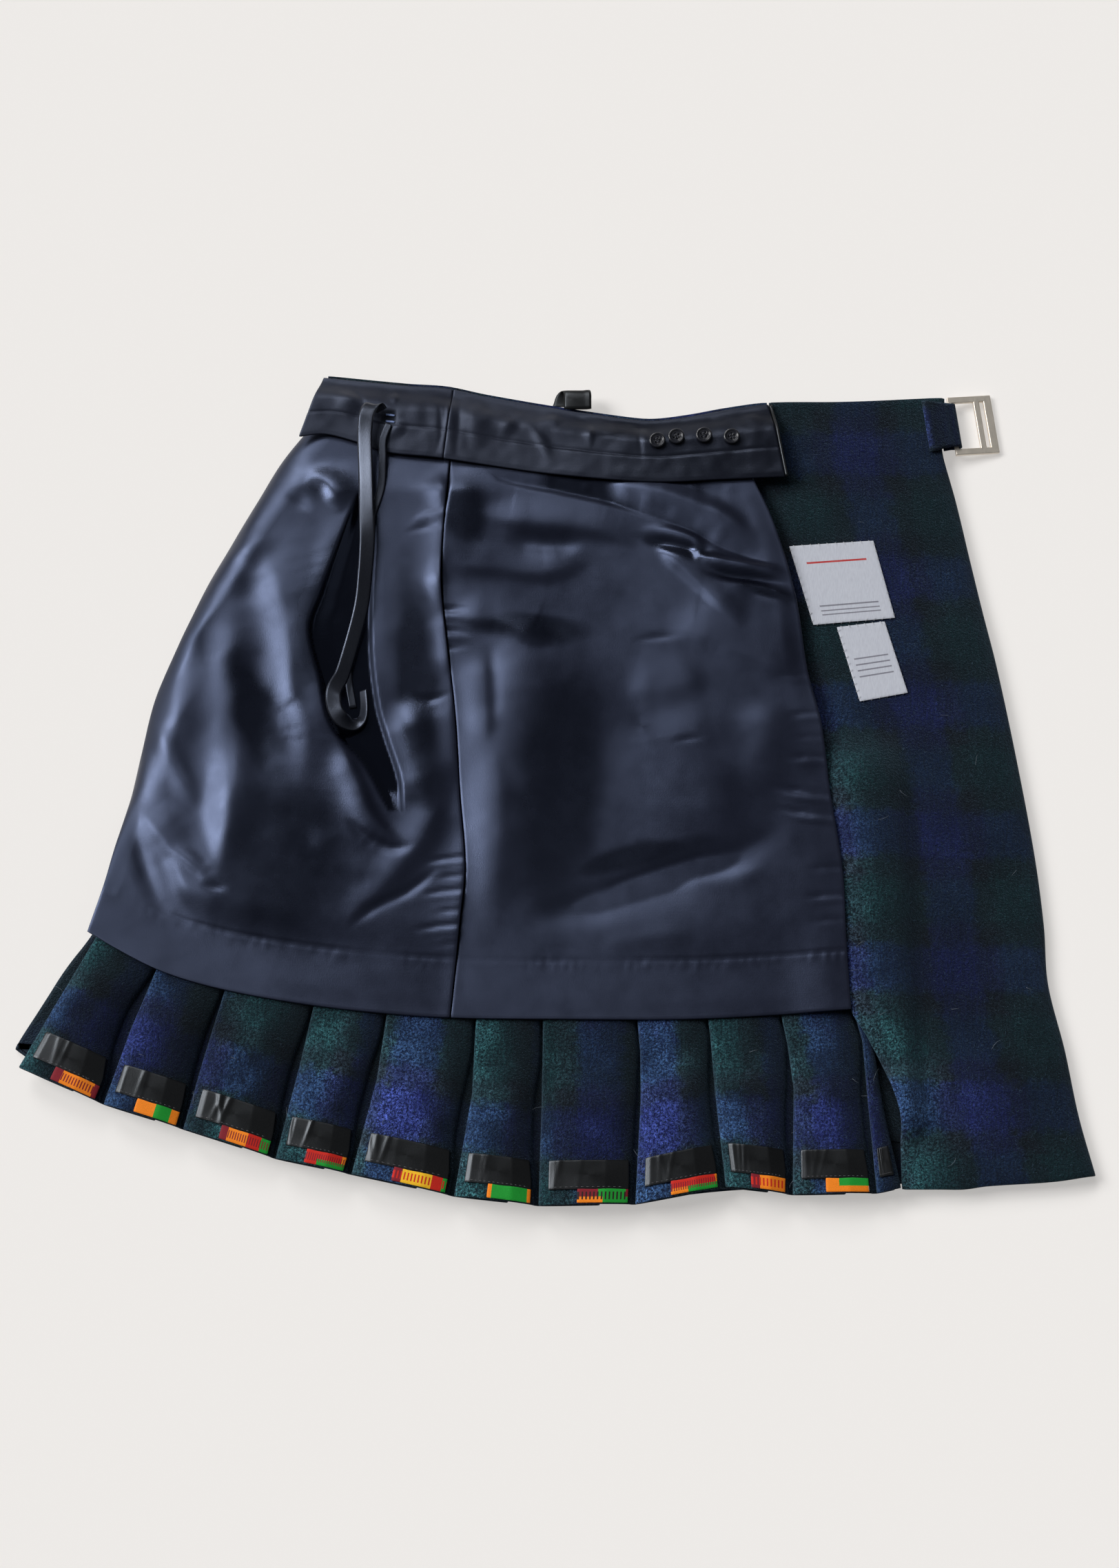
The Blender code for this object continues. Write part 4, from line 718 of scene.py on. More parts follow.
class Finish:
    """A material in the making: one Principled shader, and short calls that add nodes to it."""

    def __init__(self, name, **sockets):
        self.material = bpy.data.materials.new(name)
        self.material.use_nodes = True
        self.tree = self.material.node_tree
        self.shader = self.tree.nodes["Principled BSDF"]
        for socket, value in sockets.items():
            self.shader.inputs[socket.replace("_", " ")].default_value = value
        self.place = self.add("ShaderNodeTexCoord", {}, "Object")

    def add(self, kind, inputs, output=0, **settings):
        node = self.tree.nodes.new(kind)
        for setting, value in settings.items():
            setattr(node, setting, value)
        for key, value in inputs.items():
            if isinstance(value, bpy.types.NodeSocket):
                self.tree.links.new(value, node.inputs[key])
            else:
                node.inputs[key].default_value = value
        return node.outputs[output]

    def cloth_map(self, name="cloth"):
        node = self.add("ShaderNodeSeparateXYZ", {0: self.add("ShaderNodeUVMap", {}, uv_map=name)}).node
        return node.outputs[0], node.outputs[1]

    def noise(self, scale, detail=3.0, rough=0.5):
        vector = self.place
        if isinstance(scale, tuple):
            vector = self.add("ShaderNodeMapping", {"Vector": vector, "Scale": scale})
            scale = 1.0
        return self.add("ShaderNodeTexNoise",
                        {"Vector": vector, "Scale": scale, "Detail": detail, "Roughness": rough})

    def maths(self, operation, a, b=0.0):
        return self.add("ShaderNodeMath", {0: a, 1: b}, operation=operation)

    def within(self, value, middle, reach):
        return self.add("ShaderNodeMath", {0: value, 1: middle, 2: reach}, operation="COMPARE")

    def ranged(self, value, low, high, to_low=0.0, to_high=1.0):
        return self.add("ShaderNodeMapRange", {"Value": value, "From Min": low, "From Max": high,
                                               "To Min": to_low, "To Max": to_high})

    def ramp(self, value, stops, interpolation="LINEAR"):
        out = self.add("ShaderNodeValToRGB", {"Fac": value})
        band = out.node.color_ramp
        band.interpolation = interpolation
        while len(band.elements) < len(stops):
            band.elements.new(0.5)
        for element, (place, colour) in zip(band.elements, stops):
            element.position = place
            element.color = (*colour, 1.0)
        return out

    def mix(self, share, a, b, blend_type="MIX"):
        inputs = {0: share, 6: a, 7: b}
        for key, value in inputs.items():
            if isinstance(value, tuple):
                inputs[key] = (*value, 1.0)
        return self.add("ShaderNodeMix", inputs, 2, data_type="RGBA", blend_type=blend_type)

    def speckled(self, colour, value, low, high, dark, light):
        greys = self.ramp(value, [(low, dark), (high, light)])
        return self.mix(1.0, colour, greys, "MULTIPLY")

    def bump(self, height, distance, strength=1.0, under=None):
        inputs = {"Height": height, "Distance": distance, "Strength": strength}
        if under is not None:
            inputs["Normal"] = under
        return self.add("ShaderNodeBump", inputs)

    def set(self, **sockets):
        for socket, value in sockets.items():
            self.tree.links.new(value, self.shader.inputs[socket.replace("_", " ")])
        return self.material


def grey(level):
    """A grey colour."""
    return (level, level, level)


def shaded(colour, level):
    """A darker or lighter colour."""
    return tuple(level * c for c in colour)


def tartan(name):
    """Soft woollen tartan on the cloth's own map, in repeats of the sett; a second map paints light and
    shade on it, lifting or darkening the colour and painting a pale fibre sheen where it is lit.
    """
    finish = Finish(name, Roughness=0.9, Sheen_Weight=0.22, Sheen_Roughness=0.5,
                    Sheen_Tint=(0.45, 0.72, 1.0, 1.0), Specular_IOR_Level=0.1)
    loose = finish.ranged(finish.noise(150.0, 4.0, 0.65), 0.2, 0.8, -0.07, 0.07)
    warp, weft = [finish.ramp(finish.maths("FRACT", finish.maths("ADD", way, loose)), SETT_STOPS, "EASE")
                  for way in finish.cloth_map()]
    colour = finish.mix(0.5, warp, weft)
    fine = finish.noise(1500.0, 2.0, 0.6)
    both = finish.maths("ADD", finish.maths("MULTIPLY", finish.noise(620.0, 2.0, 0.6), 0.65),
                        finish.maths("MULTIPLY", fine, 0.35))
    # Painted light: the second map lifts the colour and paints a pale fibre sheen where the wool is lit, and
    # darkens it where it is not
    painted_lit_share = finish.cloth_map("painted_light")[0]
    cloudy = finish.ranged(finish.noise(55.0), 0.35, 0.65, 0.5, 1.1)
    share = finish.maths("MULTIPLY", finish.maths("MULTIPLY", finish.ranged(both, 0.44, 0.64),
                                                  painted_lit_share), cloudy)
    painted_sheen_tips = finish.mix(1.0, colour, (8.0, 8.0, 6.4), "MULTIPLY")
    painted_sheen_tips = finish.mix(1.0, painted_sheen_tips, (0.024, 0.056, 0.082), "ADD")
    colour = finish.mix(share, colour, painted_sheen_tips)
    colour = finish.speckled(colour, fine, 0.3, 0.7, grey(0.4), grey(1.5))
    colour = finish.speckled(colour, finish.noise((1300.0, 70.0, 400.0), 2.0, 0.6),
                             0.35, 0.65, grey(0.7), grey(1.3))
    # Painted light and shade: the colour is multiplied from 0.3 where unlit up to 1.5 where lit
    lift = finish.ranged(painted_lit_share, 0.0, 0.7, 0.30, 1.5)
    lift = finish.add("ShaderNodeCombineColor", {0: lift, 1: lift, 2: lift})
    relief = finish.bump(fine, 0.0005, 0.8, finish.bump(both, 0.0016))
    return finish.set(Base_Color=finish.mix(1.0, colour, lift, "MULTIPLY"), Normal=relief)


def satin(name, colour, roughness, tint, threads=0.3, level=0.5, mapped=False):
    """Satin: dark cloth with a coloured shine; its map paints shade in two ways, darker and smoother in the
    first channel, darker and rougher in the second.
    """
    finish = Finish(name, Specular_IOR_Level=level, Specular_Tint=(*tint, 1.0), Anisotropic=0.35)
    streaks = finish.noise((60.0, 1500.0, 200.0), 2.0, 0.6)
    weave = finish.noise((1900.0, 700.0, 900.0), 2.0, 0.7)
    cloudy = finish.noise(45.0, 4.0, 0.6)
    base = finish.mix(cloudy, shaded(colour, 0.75), shaded(colour, 1.3))
    rough = finish.ranged(cloudy, 0.3, 0.7, roughness - 0.04, roughness + 0.05)
    if mapped:
        # Painted shade: the first channel darkens the colour and lowers the roughness, the second darkens it
        # and raises the roughness
        calm_painted_shade, shade = finish.cloth_map("painted_light")
        base = finish.mix(finish.maths("MAXIMUM", calm_painted_shade, shade), base, shaded(colour, 0.2))
        for low, high, smoother in ((0.0, 0.75, 0.64), (0.75, 1.0, 0.45)):
            rough = finish.maths("MULTIPLY", rough, finish.ranged(calm_painted_shade, low, high, 1.0, smoother))
        rough = finish.maths("MAXIMUM", rough, shade)
    base = finish.speckled(base, weave, 0.3, 0.7, grey(0.6), grey(1.4))
    relief = finish.bump(weave, 0.00008, 0.7, finish.bump(streaks, 0.0001, threads))
    return finish.set(Base_Color=base, Roughness=rough, Normal=relief)


def metal_finish(name, colour, roughness):
    """Brushed, lightly worn metal."""
    finish = Finish(name, Metallic=1.0)
    brush = finish.noise((2600.0, 208.0, 2600.0), 3.0, 0.6)
    return finish.set(Base_Color=finish.mix(finish.noise(160.0), shaded(colour, 0.86), colour),
                      Roughness=finish.ranged(brush, 0.3, 0.7, roughness - 0.06, roughness + 0.1),
                      Normal=finish.bump(brush, 0.00005, 0.3))


def plain_finish(name, colour, roughness, grain=3000.0, depth=0.0001, level=0.5):
    """A simple surface with a fine grain in its colour and its relief."""
    finish = Finish(name, Specular_IOR_Level=level)
    fine = finish.noise(grain, 3.0, 0.6)
    return finish.set(Base_Color=finish.mix(fine, shaded(colour, 0.8), shaded(colour, 1.15)),
                      Roughness=finish.ranged(fine, 0.3, 0.7, roughness - 0.05, roughness + 0.05),
                      Normal=finish.bump(fine, depth, 0.5))


def printed(name, blocks, comb=0.0, comb_colour=WINE, lower=None):
    """Printed cotton: blocks of colour along a strip, a comb of fine bars, and an optional lower band."""
    finish = Finish(name, Roughness=0.7, Specular_IOR_Level=0.3)
    across, along = finish.cloth_map()
    colour = finish.ramp(across, blocks, "CONSTANT")
    if lower is not None:
        band = finish.ramp(across, lower, "CONSTANT")
        colour = finish.mix(finish.maths("LESS_THAN", along, 0.42), colour, band)
    if comb:
        bars = finish.maths("LESS_THAN", finish.maths("FRACT", finish.maths("MULTIPLY", across, comb)), 0.42)
        share = finish.maths("MULTIPLY", bars, finish.within(along, 0.5, 0.3))
        colour = finish.mix(share, colour, comb_colour)
    weave = finish.noise(2200.0, 2.0)
    return finish.set(Base_Color=finish.speckled(colour, weave, 0.3, 0.7, grey(0.8), grey(1.1)),
                      Normal=finish.bump(weave, 0.0001, 0.5))


def woven_label(name, rules):
    """White satin weave with plain printed rules across it."""
    finish = Finish(name, Roughness=0.5, Specular_IOR_Level=0.5, Sheen_Weight=0.1)
    across, along = finish.cloth_map()
    stops = [(0.0, LABEL_WHITE)]
    for low, high, colour in rules:
        stops += [(low, colour), (high, LABEL_WHITE)]
    ruled = finish.ramp(along, stops, "CONSTANT")
    colour = finish.mix(finish.within(across, 0.5, 0.36), LABEL_WHITE, ruled)
    threads = finish.noise((3000.0, 260.0, 500.0), 2.0)
    return finish.set(Base_Color=finish.speckled(colour, threads, 0.3, 0.7, (0.88, 0.88, 0.9), grey(1.05)),
                      Normal=finish.bump(threads, 0.0001, 0.6))


WOOL = tartan("tartan")
LINING = satin("lining_satin_finish", (0.0036, 0.0037, 0.0080),
               0.42, (0.50, 0.62, 1.0), 0.25, 1.0, mapped=True)
FACING = satin("facing_sateen_finish", (0.0070, 0.0080, 0.0145),
               0.50, (0.62, 0.72, 1.0), 0.35, 0.65, mapped=True)
TAPE = satin("tape_satin_finish", (0.0050, 0.0050, 0.0050), 0.36, (0.85, 0.92, 1.0))
RIBBON_SATIN = satin("ribbon_satin_finish", (0.0085, 0.0090, 0.0120), 0.36, (0.66, 0.76, 1.0), level=1.0)
METAL = metal_finish("champagne_metal", (0.88, 0.81, 0.71), 0.52)
PLASTIC = plain_finish("button_finish", (0.012, 0.013, 0.018), 0.22, 500.0, 0.00005, 0.6)
THREAD = plain_finish("dark_thread", (0.03, 0.032, 0.045), 0.6)
PALE_THREAD = plain_finish("pale_thread", (0.22, 0.30, 0.55), 0.55)
TAPE_THREAD = plain_finish("tape_thread", (0.13, 0.13, 0.14), 0.55)
LABEL_THREAD = plain_finish("label_thread", (0.55, 0.56, 0.58), 0.6)
HAIR = plain_finish("wool_hair", (0.055, 0.115, 0.185), 0.7, 120.0)
STRAY_HAIR = plain_finish("stray_wool_hair", (0.26, 0.30, 0.36), 0.7, 120.0)


def station_line(pleat, station):
    """The place of a left fold at a station: a depth up to the lap, then a share of the rest."""
    lap, mid, hem = np.array(pleat[1:7], float).reshape(3, 2)
    low = length_of(mid - hem)
    depth = min(station, LAP_DEPTH)
    place = (blend(hem, mid, depth / low) if depth <= low
             else blend(mid, lap, (depth - low) / length_of(lap - mid)))
    if station <= LAP_DEPTH:
        return place
    waist = np.array((pleat[0], float(curve(WAIST_TOP, pleat[0])) - 24.0))
    return blend(place, waist, (station - LAP_DEPTH) / UPPER_RUN)


def pleat_frame(index, station):
    """A pleat's fold, direction, pitch and face width at a station."""
    start = station_line(PLEATS[index], station)
    end = station_line(PLEATS[index + 1], station)
    pitch = float(length_of(end - start))
    open_share = ease(station / 40.0) * ease((LAP_DEPTH - station) / 40.0)
    gap = blend(3.4, PLEATS[index][7], max(open_share, 0.35 * ease((40.0 - station) / 40.0)))
    return start, (end - start) / pitch, pitch, pitch - gap


def face_profile(index, station, width):
    """The top of a pleat's face: distance from its left fold, and height of the cloth's middle."""
    dome = PLEATS[index][8]
    free = float(ease((LAP_DEPTH - station) / 40.0))
    radius = blend(1.6, 2.3, free) if dome else 1.6
    top = PLEAT_FLOOR + LAYER_STEP + 2.0 * radius
    profile = [(radius, top)]
    profile += [(share * width, top + rise * dome * free) for share, rise in zip(FACE_SHARES, FACE_SWELL)]
    return radius, profile + [(width, top - blend(1.0, SHOULDER_DROP, free))]


def pleat_section(index, station):
    """One pleat's section, from the gap on its left to the shoulder on its right, with its map and how much
    light is painted on it.
    """
    start, along, pitch, width = pleat_frame(index, station)
    turn = OUTER_FOLD_SHARE * pitch
    middle = PLEAT_FLOOR + LAYER_STEP
    half_step = 0.5 * LAYER_STEP
    radius, face = face_profile(index, station, width)
    roll, centre, far = PLEAT_LIGHT[index]
    # Painted light for each point of the section, from the table of how lit each pleat is: none below the
    # face and on the shoulder
    painted_light = [0.0] * 5 + [0.5 * roll, roll, roll, blend(roll, centre, 0.35), centre, far, 0.0, 0.0]
    profile = [(1.0, PLEAT_FLOOR), (turn - half_step, PLEAT_FLOOR), (turn, PLEAT_FLOOR + half_step)]
    profile += [(turn - half_step, middle), (radius, middle)]
    for angle in (210.0, 150.0):
        a, b = around(radius, angle)
        profile.append((radius + a, middle + radius + b))
    profile += face
    if index < len(PLEATS) - 2:
        profile.append((width + 0.8, PLEAT_FLOOR + 1.4))
    return [(*(start + along * a), z, PLEATS[index][9] + a, station, n) for (a, z), n in zip(profile, painted_light)]


def make_pleats():
    """All the pleats as one wall of wool, from the hem to the waist."""
    stations = np.append(np.linspace(0.0, LAP_DEPTH, 44),
                         np.linspace(LAP_DEPTH, LAP_DEPTH + UPPER_RUN, 12)[1:])
    rows = np.array([smooth_line(sum((pleat_section(i, station) for i in range(len(PLEATS) - 1)), []))
                     for station in stations])
    middle = rows[:, :, :3]
    x, y, z = np.moveaxis(middle, 2, 0)
    uvs = np.stack([rows[:, :, 3] / SETT, (45.0 - rows[:, :, 4]) / SETT], axis=2)
    painted_light = rows[:, :, 5]
    free = ease((LAP_DEPTH - stations) / 50.0)[:, None]
    split_x, split_y = spot(590, 1560)
    uneven = 0.4 * wander(x, y, 15.0, 5) + 0.25 * wander(x, y, 6.0, 6)
    uneven = uneven - 0.9 * bell((x - split_x - 0.06 * (y - split_y)) / 1.4)
    middle[:, :, 2] += np.where(z > FACE_FROM, uneven * free, 0.0)
    # The painted light varies in patches and fades towards the waist
    patchy = 0.22 * wander(x, y, 11.0, 7) * ease(painted_light / 0.3)
    painted_light = np.clip(painted_light * blend(1.05, 0.75, stations[:, None] / LAP_DEPTH) + patchy, 0.0, 1.0)
    lay("pleats_wool", "pleats", middle, WOOL_WALL, WOOL, uvs, painted_light)
    return middle, painted_light * free * (middle[:, :, 2] > FACE_FROM) + 1e-6, 0.5 * WOOL_WALL, 3600


def face_point(index, depth, share, lift):
    """A point on a pleat's face at a share of its width, moved out by a lift."""
    start, along, pitch, width = pleat_frame(index, depth)
    profile = face_profile(index, depth, width)[1]
    at = min(max(share * width, profile[0][0]), profile[-1][0])
    z = np.interp(at, [a for a, z in profile], [z for a, z in profile])
    return np.array((*(start + along * at), z + 0.5 * WOOL_WALL + lift))


def face_strip(node, index, left, right, low, high, finish, columns, rows, ripple):
    """A strip that lies on a pleat's face between two shares of its width and two depths."""
    u, v = np.meshgrid(np.linspace(0.0, 1.0, columns), np.linspace(0.0, 1.0, rows))
    middle = np.zeros((rows, columns, 3))
    for j, i in np.ndindex(rows, columns):
        depth = blend(low, high, v[j, i])
        first = max(left, 2.4 / pleat_frame(index, depth)[3])
        middle[j, i] = face_point(index, depth, blend(first, right, u[j, i]), GAP + 0.5 * TAPE_WALL)
        middle[j, i, 2] += ripple(u[j, i], v[j, i])
    lay(node + "_cloth", node, middle, TAPE_WALL, finish, np.stack([u, v], axis=2))
    return middle


def make_tapes():
    """The satin tape along the hem, seen on each pleat, with its puckers and its stitched lower edge."""
    stitches = []
    for index, strength in enumerate(PUCKERS):
        seed = np.random.default_rng(40 + index)
        puckers = list(zip(seed.uniform(0.02, 0.4, 3), seed.uniform(0.5, 1.0, 3),
                           seed.uniform(-0.15, 0.15, 3)))

        def ripple(u, v):
            rise = sum(height * bell((u - place - tilt * v) / 0.03) for place, height, tilt in puckers)
            return rise * (0.3 + 0.7 * v) * strength
        right = 0.97 if index < len(PLEATS) - 2 else 0.8
        middle = face_strip(f"hem_tape_{index + 1:02d}", index, 0.1, right, TAPE_LOW, TAPE_HIGH, TAPE,
                            60, 16, ripple)
        top = middle[1] + (0.0, 0.0, 0.5 * TAPE_WALL + 0.06)
        stitches += [top[i:i + 3] for i in range(4 + index % 2, 56, 4)]
    rods("tape_stitches_thread", stitches, 0.13, TAPE_THREAD, 5)


def make_patches():
    """The printed scraps at the lower corner of each pleat."""
    for index, look in enumerate(PRINTS):
        face_strip(f"hem_patch_{index + 1:02d}", index, 0.42, 0.97, 0.4, TAPE_LOW - 0.3,
                   printed(f"print_{index + 1:02d}", *look), 20, 8,
                   lambda u, v: 0.12 * math.sin(9.0 * u + 2.0 * v))


def make_lining_panel(name, node, left_edge, right_edge, hem, top, columns, patches):
    """A satin panel on its form, with its smaller creases, and where shade is painted on it."""
    u, v = np.meshgrid(np.linspace(0.0, 1.0, columns), np.linspace(0.0, 1.0, 205))
    y = blend(curve(LINING_HEM, blend(*hem, u)), curve(FACING_LOW, blend(*top, u)) + 7.0, v)
    x = blend(left_edge(y), right_edge(y), u)
    to_hem = y - curve(LINING_HEM, x)
    slack = ease(to_hem / 50.0) * ease((curve(FACING_LOW, x) - y) / 30.0)
    small = (0.3 * (1.0 + wander(x, y, 26.0, 11)) + 0.06 * wander(x, y, 9.0, 12)
             + 0.07 * wander(x, 0.12 * y, 11.0, 13))
    middle = np.stack([x, y, lining_height(x, y) + 0.5 * LINING_WALL + slack * small], axis=2)
    # Painted shade on the satin's darker stretches
    calm_painted_shade = 0.75 * painted_shade_part(x, y, patches)
    if node == "lining_left":
        left, right, end = opening_at(x, y)
        # Painted shade in the deep fold beside the seam
        calm_painted_shade = np.maximum(calm_painted_shade, ease((left + 1.0) / 1.5) * ease((right + 1.0) / 1.5) * ease(end / 4.0))
        # Painted shade along the left rim, dimming its highlight, and along the far rim of the deep fold
        rim = ease((20.0 - x + curve(LINING_LEFT, y)) / 12.0) * ease((to_hem - 20.0) / 20.0)
        ends = ease((OPENING_LEFT[0][0] + 4.0 - y) / 10.0) * ease((y - OPENING_LEFT[-1][0] + 3.0) / 6.0)
        shade = np.maximum(0.62 * rim * ease(0.75 + 0.5 * wander(x, y, 38.0, 15)),
                           0.9 * bell(right / 2.4) * ends)
    else:
        # Painted shade in the hollow under the waistband, except on the tuck's ridge
        hollow = (ease((y - curve(LINING_DROOP, x) - 1.0) / 3.0) * ease((108.0 - x) / 14.0)
                  * ease((x + 20.0) / 14.0))
        calm_painted_shade = np.maximum(calm_painted_shade, 0.85 * hollow * (1.0 - ease(crease_height(x, y, TUCK) / 2.4)))
        shade = np.zeros_like(x)
    lay(name, node, middle, LINING_WALL, LINING,
        painted_light=np.stack([calm_painted_shade, shade], axis=2))


def make_lining():
    """The two panels, on both sides of their seam."""
    make_lining_panel("lining_left_satin", "lining_left", lambda y: curve(LINING_LEFT, y),
                      lambda y: curve(LINING_SEAM, y) - GAP - 0.5, (-309.0, -71.3), (-172.0, -74.3), 150,
                      PAINTED_SHADE_LEFT)
    make_lining_panel("lining_right_satin", "lining_right", lambda y: curve(LINING_SEAM, y) + GAP + 0.5,
                      lambda y: curve(LINING_RIGHT, y), (-70.7, 189.0), (-73.7, 130.0), 165,
                      PAINTED_SHADE_RIGHT)


def make_facing():
    """The two lengths of the inner waistband."""
    slot_x, slot_y = spot(563, 603, 22.0)
    for side, left_top, left_low, right_top, right_low, columns in (
            ("left", -163.0, -178.0, -74.4, -80.4, 110), ("right", -72.8, -78.8, 144.0, 153.4, 240)):
        u, v = np.meshgrid(np.linspace(0.0, 1.0, columns), np.linspace(0.0, 1.0, 64))
        share = 1.0 - v
        top_x = blend(left_top, right_top, u)
        low_x = blend(left_low, right_low, u)
        x = blend(top_x, low_x, share)
        y = blend(curve(WAIST_TOP, top_x) - 2.0, curve(FACING_LOW, low_x), share)
        z = facing_height(x, share) + facing_detail(x, y, share) + 0.5 * FACING_WALL
        # Painted shade on the facing, growing towards its right end
        calm_painted_shade = np.clip(curve([(-180, 0.1), (-60, 0.15), (0, 0.3), (40, 0.55), (156, 0.7)], x), 0.0, 1.0)
        shade = np.exp(-(((x - slot_x) / 6.6) ** 6 + ((y - slot_y) / 5.6) ** 6))
        lay(f"facing_{side}_sateen", f"facing_{side}", np.stack([x, y, z], axis=2), FACING_WALL, FACING,
            painted_light=np.stack([calm_painted_shade, shade], axis=2))


def make_waist_wool():
    """The wool's own top edge, which shows above the facing."""
    u, v = np.meshgrid(np.linspace(0.0, 1.0, 120), np.linspace(0.0, 1.0, 10))
    x = blend(-160.0, 143.0, u)
    y = curve(WAIST_TOP, x) + blend(-19.0, 0.6, v)
    lay("waist_wool_cloth", "waist_wool", np.stack([x, y, np.full_like(x, 10.15)], axis=2), 1.6, WOOL,
        np.stack([x / SETT, y / SETT], axis=2), np.full_like(x, 0.25))


def make_apron():
    """The wool apron at the right, tartan side up."""
    u, v = np.meshgrid(np.linspace(0.0, 1.0, 90), np.linspace(0.0, 1.0, 200))
    y = blend(curve(APRON_HEM, blend(221.0, 345.0, u)), curve(WAIST_TOP, blend(147.5, 266.0, u)), v)
    x = blend(apron_left(y), curve(APRON_RIGHT, y), u)
    from_right = curve(APRON_RIGHT, y) - x
    z = apron_height(x, y) + 0.5 * APRON_WALL + 0.25 * wander(x, y, 26.0, 21) * ease(from_right / 20.0)
    middle = np.stack([x, y, z], axis=2)
    # Painted light: the colour is lifted and a pale fibre sheen painted along the rolled left edge, beside
    # the lining's edge and on the wave, with a low level elsewhere
    roll = bell(np.maximum(x - apron_left(y) - 2.0, 0.0) / 22.0) * ease((-90.0 - y) / 40.0)
    beside = bell((x - curve(LINING_RIGHT, y)) / 20.0) * ease((120.0 - y) / 120.0)
    wave_x, wave_y = spot(1330, 1600)
    wave = bell((x - wave_x) / 34.0) * bell((y - wave_y) / 36.0)
    lit = np.maximum(np.maximum(roll, 0.8 * beside), 0.7 * wave)
    painted_light = np.clip(0.17 + 0.06 * wander(x, y, 24.0, 22) + 0.8 * lit, 0.0, 1.0)
    sett = np.stack([(60.0 - from_right) / SETT, (235.0 - y) / 90.3], axis=2)
    lay("apron_wool", "apron", middle, APRON_WALL, WOOL,
        sett, painted_light)
    shows = (x > curve(LINING_RIGHT, y) + 1.0) + 1e-6
    return middle, np.clip(painted_light, 0.12, 1.0) * shows, 0.5 * APRON_WALL, 2200


def make_back():
    """The folded layers: one solid of stacked outlines, flat below."""
    left = [(x, y) for y, x in BACK_LEFT]
    right = [(x - 8.0, y) for y, x in reversed(APRON_RIGHT[1:-1])]
    top = [(x, y - 3.0) for x, y in reversed(WAIST_TOP[1:])]
    top[0] = (top[0][0] - 13.0, top[0][1])
    outline = smooth_line(left + BACK_HEM + right + top, closed=True)
    tangent = np.roll(outline, -1, axis=0) - np.roll(outline, 1, axis=0)
    inward = np.stack([-tangent[:, 1], tangent[:, 0]], axis=1) / length_of(tangent)[:, None]
    layers = smooth_line(BACK_LAYERS)
    places = [outline + inward * inset for inset, z in layers]
    rings = [np.column_stack([place, np.full(len(outline), z)]) for place, (inset, z) in zip(places, layers)]
    mesh = loft("folded_back_wool", rings, uvs=np.concatenate(places) / SETT + (0.3, 0.0))
    piece = made("folded_back_wool", mesh, WOOL, nodes=("folded_back",))


def way_at(route, i):
    """The direction of a route at one of its points."""
    return Vector(route[min(i + 1, len(route) - 1)] - route[max(i - 1, 0)]).normalized()


def band_rings(route, turns, width):
    """The sections of a ribbon; its first rows keep the width's direction that comes after them."""
    rings = []
    for i, centre in enumerate(route):
        ahead = way_at(route, i)
        onward = Vector(route[RIBBON_HELD + 1] - route[RIBBON_HELD]) if i < RIBBON_HELD else ahead
        across = Vector((onward.y, -onward.x, 0.0)).normalized()
        across = (across - ahead * across.dot(ahead)).normalized()
        spin = Matrix.Rotation(math.radians(float(turns[i])), 3, ahead)
        upright = spin @ across.cross(ahead)
        across = spin @ across
        ring = []
        for k, face in [(k, 1.0) for k in range(9)] + [(k, -1.0) for k in range(7, 0, -1)]:
            s = -0.5 + k / 8.0
            rise = face * 0.5 * RIBBON_WALL * (1.0 - (2.0 * abs(s)) ** 6) + 0.1 * (4.0 * s * s - 0.5)
            ring.append(tuple(Vector(centre) + across * (s * width) + upright * rise))
        rings.append(ring)
    return rings


def make_ribbons():
    """The hanging ribbon, lifted off the highest cloth under its width."""
    for name, node, rows, width in (("ribbon_front", "ribbon_loop", RIBBON, RIBBON_WIDTH),
                                    ("ribbon_back", "ribbon_rear", RIBBON_REAR, 5.0)):
        x, y, lift, turn = np.array(rows, float).T
        z = highest(rest_height, x, y, (-8, -4, 0, 4, 8), (-6, 0, 6)) + lift
        route = spread(np.column_stack([x, y, z]), 8)
        rings = band_rings(route, spread(turn[:, None], 8)[:, 0], width)
        piece = made(name, loft(name, rings), RIBBON_SATIN, nodes=(node,))


def make_belt_loop():
    """The folded tape that stands out above the waistband: its far strand swings to the left."""
    line = smooth_line(BELT_LOOP, 3)
    route = np.column_stack([np.zeros(len(line)), line[:, :2]])
    rings = []
    for i, (y, z, shift, share) in enumerate(line):
        ahead = way_at(route, i)
        upright = Vector((0.0, -ahead.z, ahead.y))
        ring = []
        for k, face in [(k, 1.0) for k in range(13)] + [(k, -1.0) for k in range(11, 0, -1)]:
            s = -0.5 + k / 12.0
            rise = face * 0.5 * (1.0 - (2.0 * abs(s)) ** 6) + 0.9 * max(s - 0.3, 0.0) / 0.2 * share
            ring.append(tuple(Vector((12.5 + shift + s * share * BELT_LOOP_WIDTH, y, z)) + upright * rise))
        rings.append(ring)
    piece = made("belt_loop_tape", loft("belt_loop_tape", rings), TAPE, nodes=("belt_loop",))


def make_labels():
    """The two sewn labels, with plain rules in place of words."""
    for size, corners, rules in (("large", LABEL_LARGE, LARGE_RULES), ("small", LABEL_SMALL, SMALL_RULES)):
        low_left, low_right, high_left, high_right = np.array(corners, float)
        u, v = np.meshgrid(np.linspace(0.0, 1.0, 30), np.linspace(0.0, 1.0, 30))
        s, t = u[:, :, None], v[:, :, None]
        x, y = np.moveaxis(blend(blend(low_left, low_right, s), blend(high_left, high_right, s), t), 2, 0)
        z = highest(apron_height, x, y, (-5, 0, 5), (-5, 0, 5)) + APRON_WALL + 0.8
        lay(f"label_{size}_cloth", f"label_{size}", np.stack([x, y, z], axis=2), 0.6,
            woven_label(f"label_{size}_weave", rules),
            np.stack([u, v], axis=2))


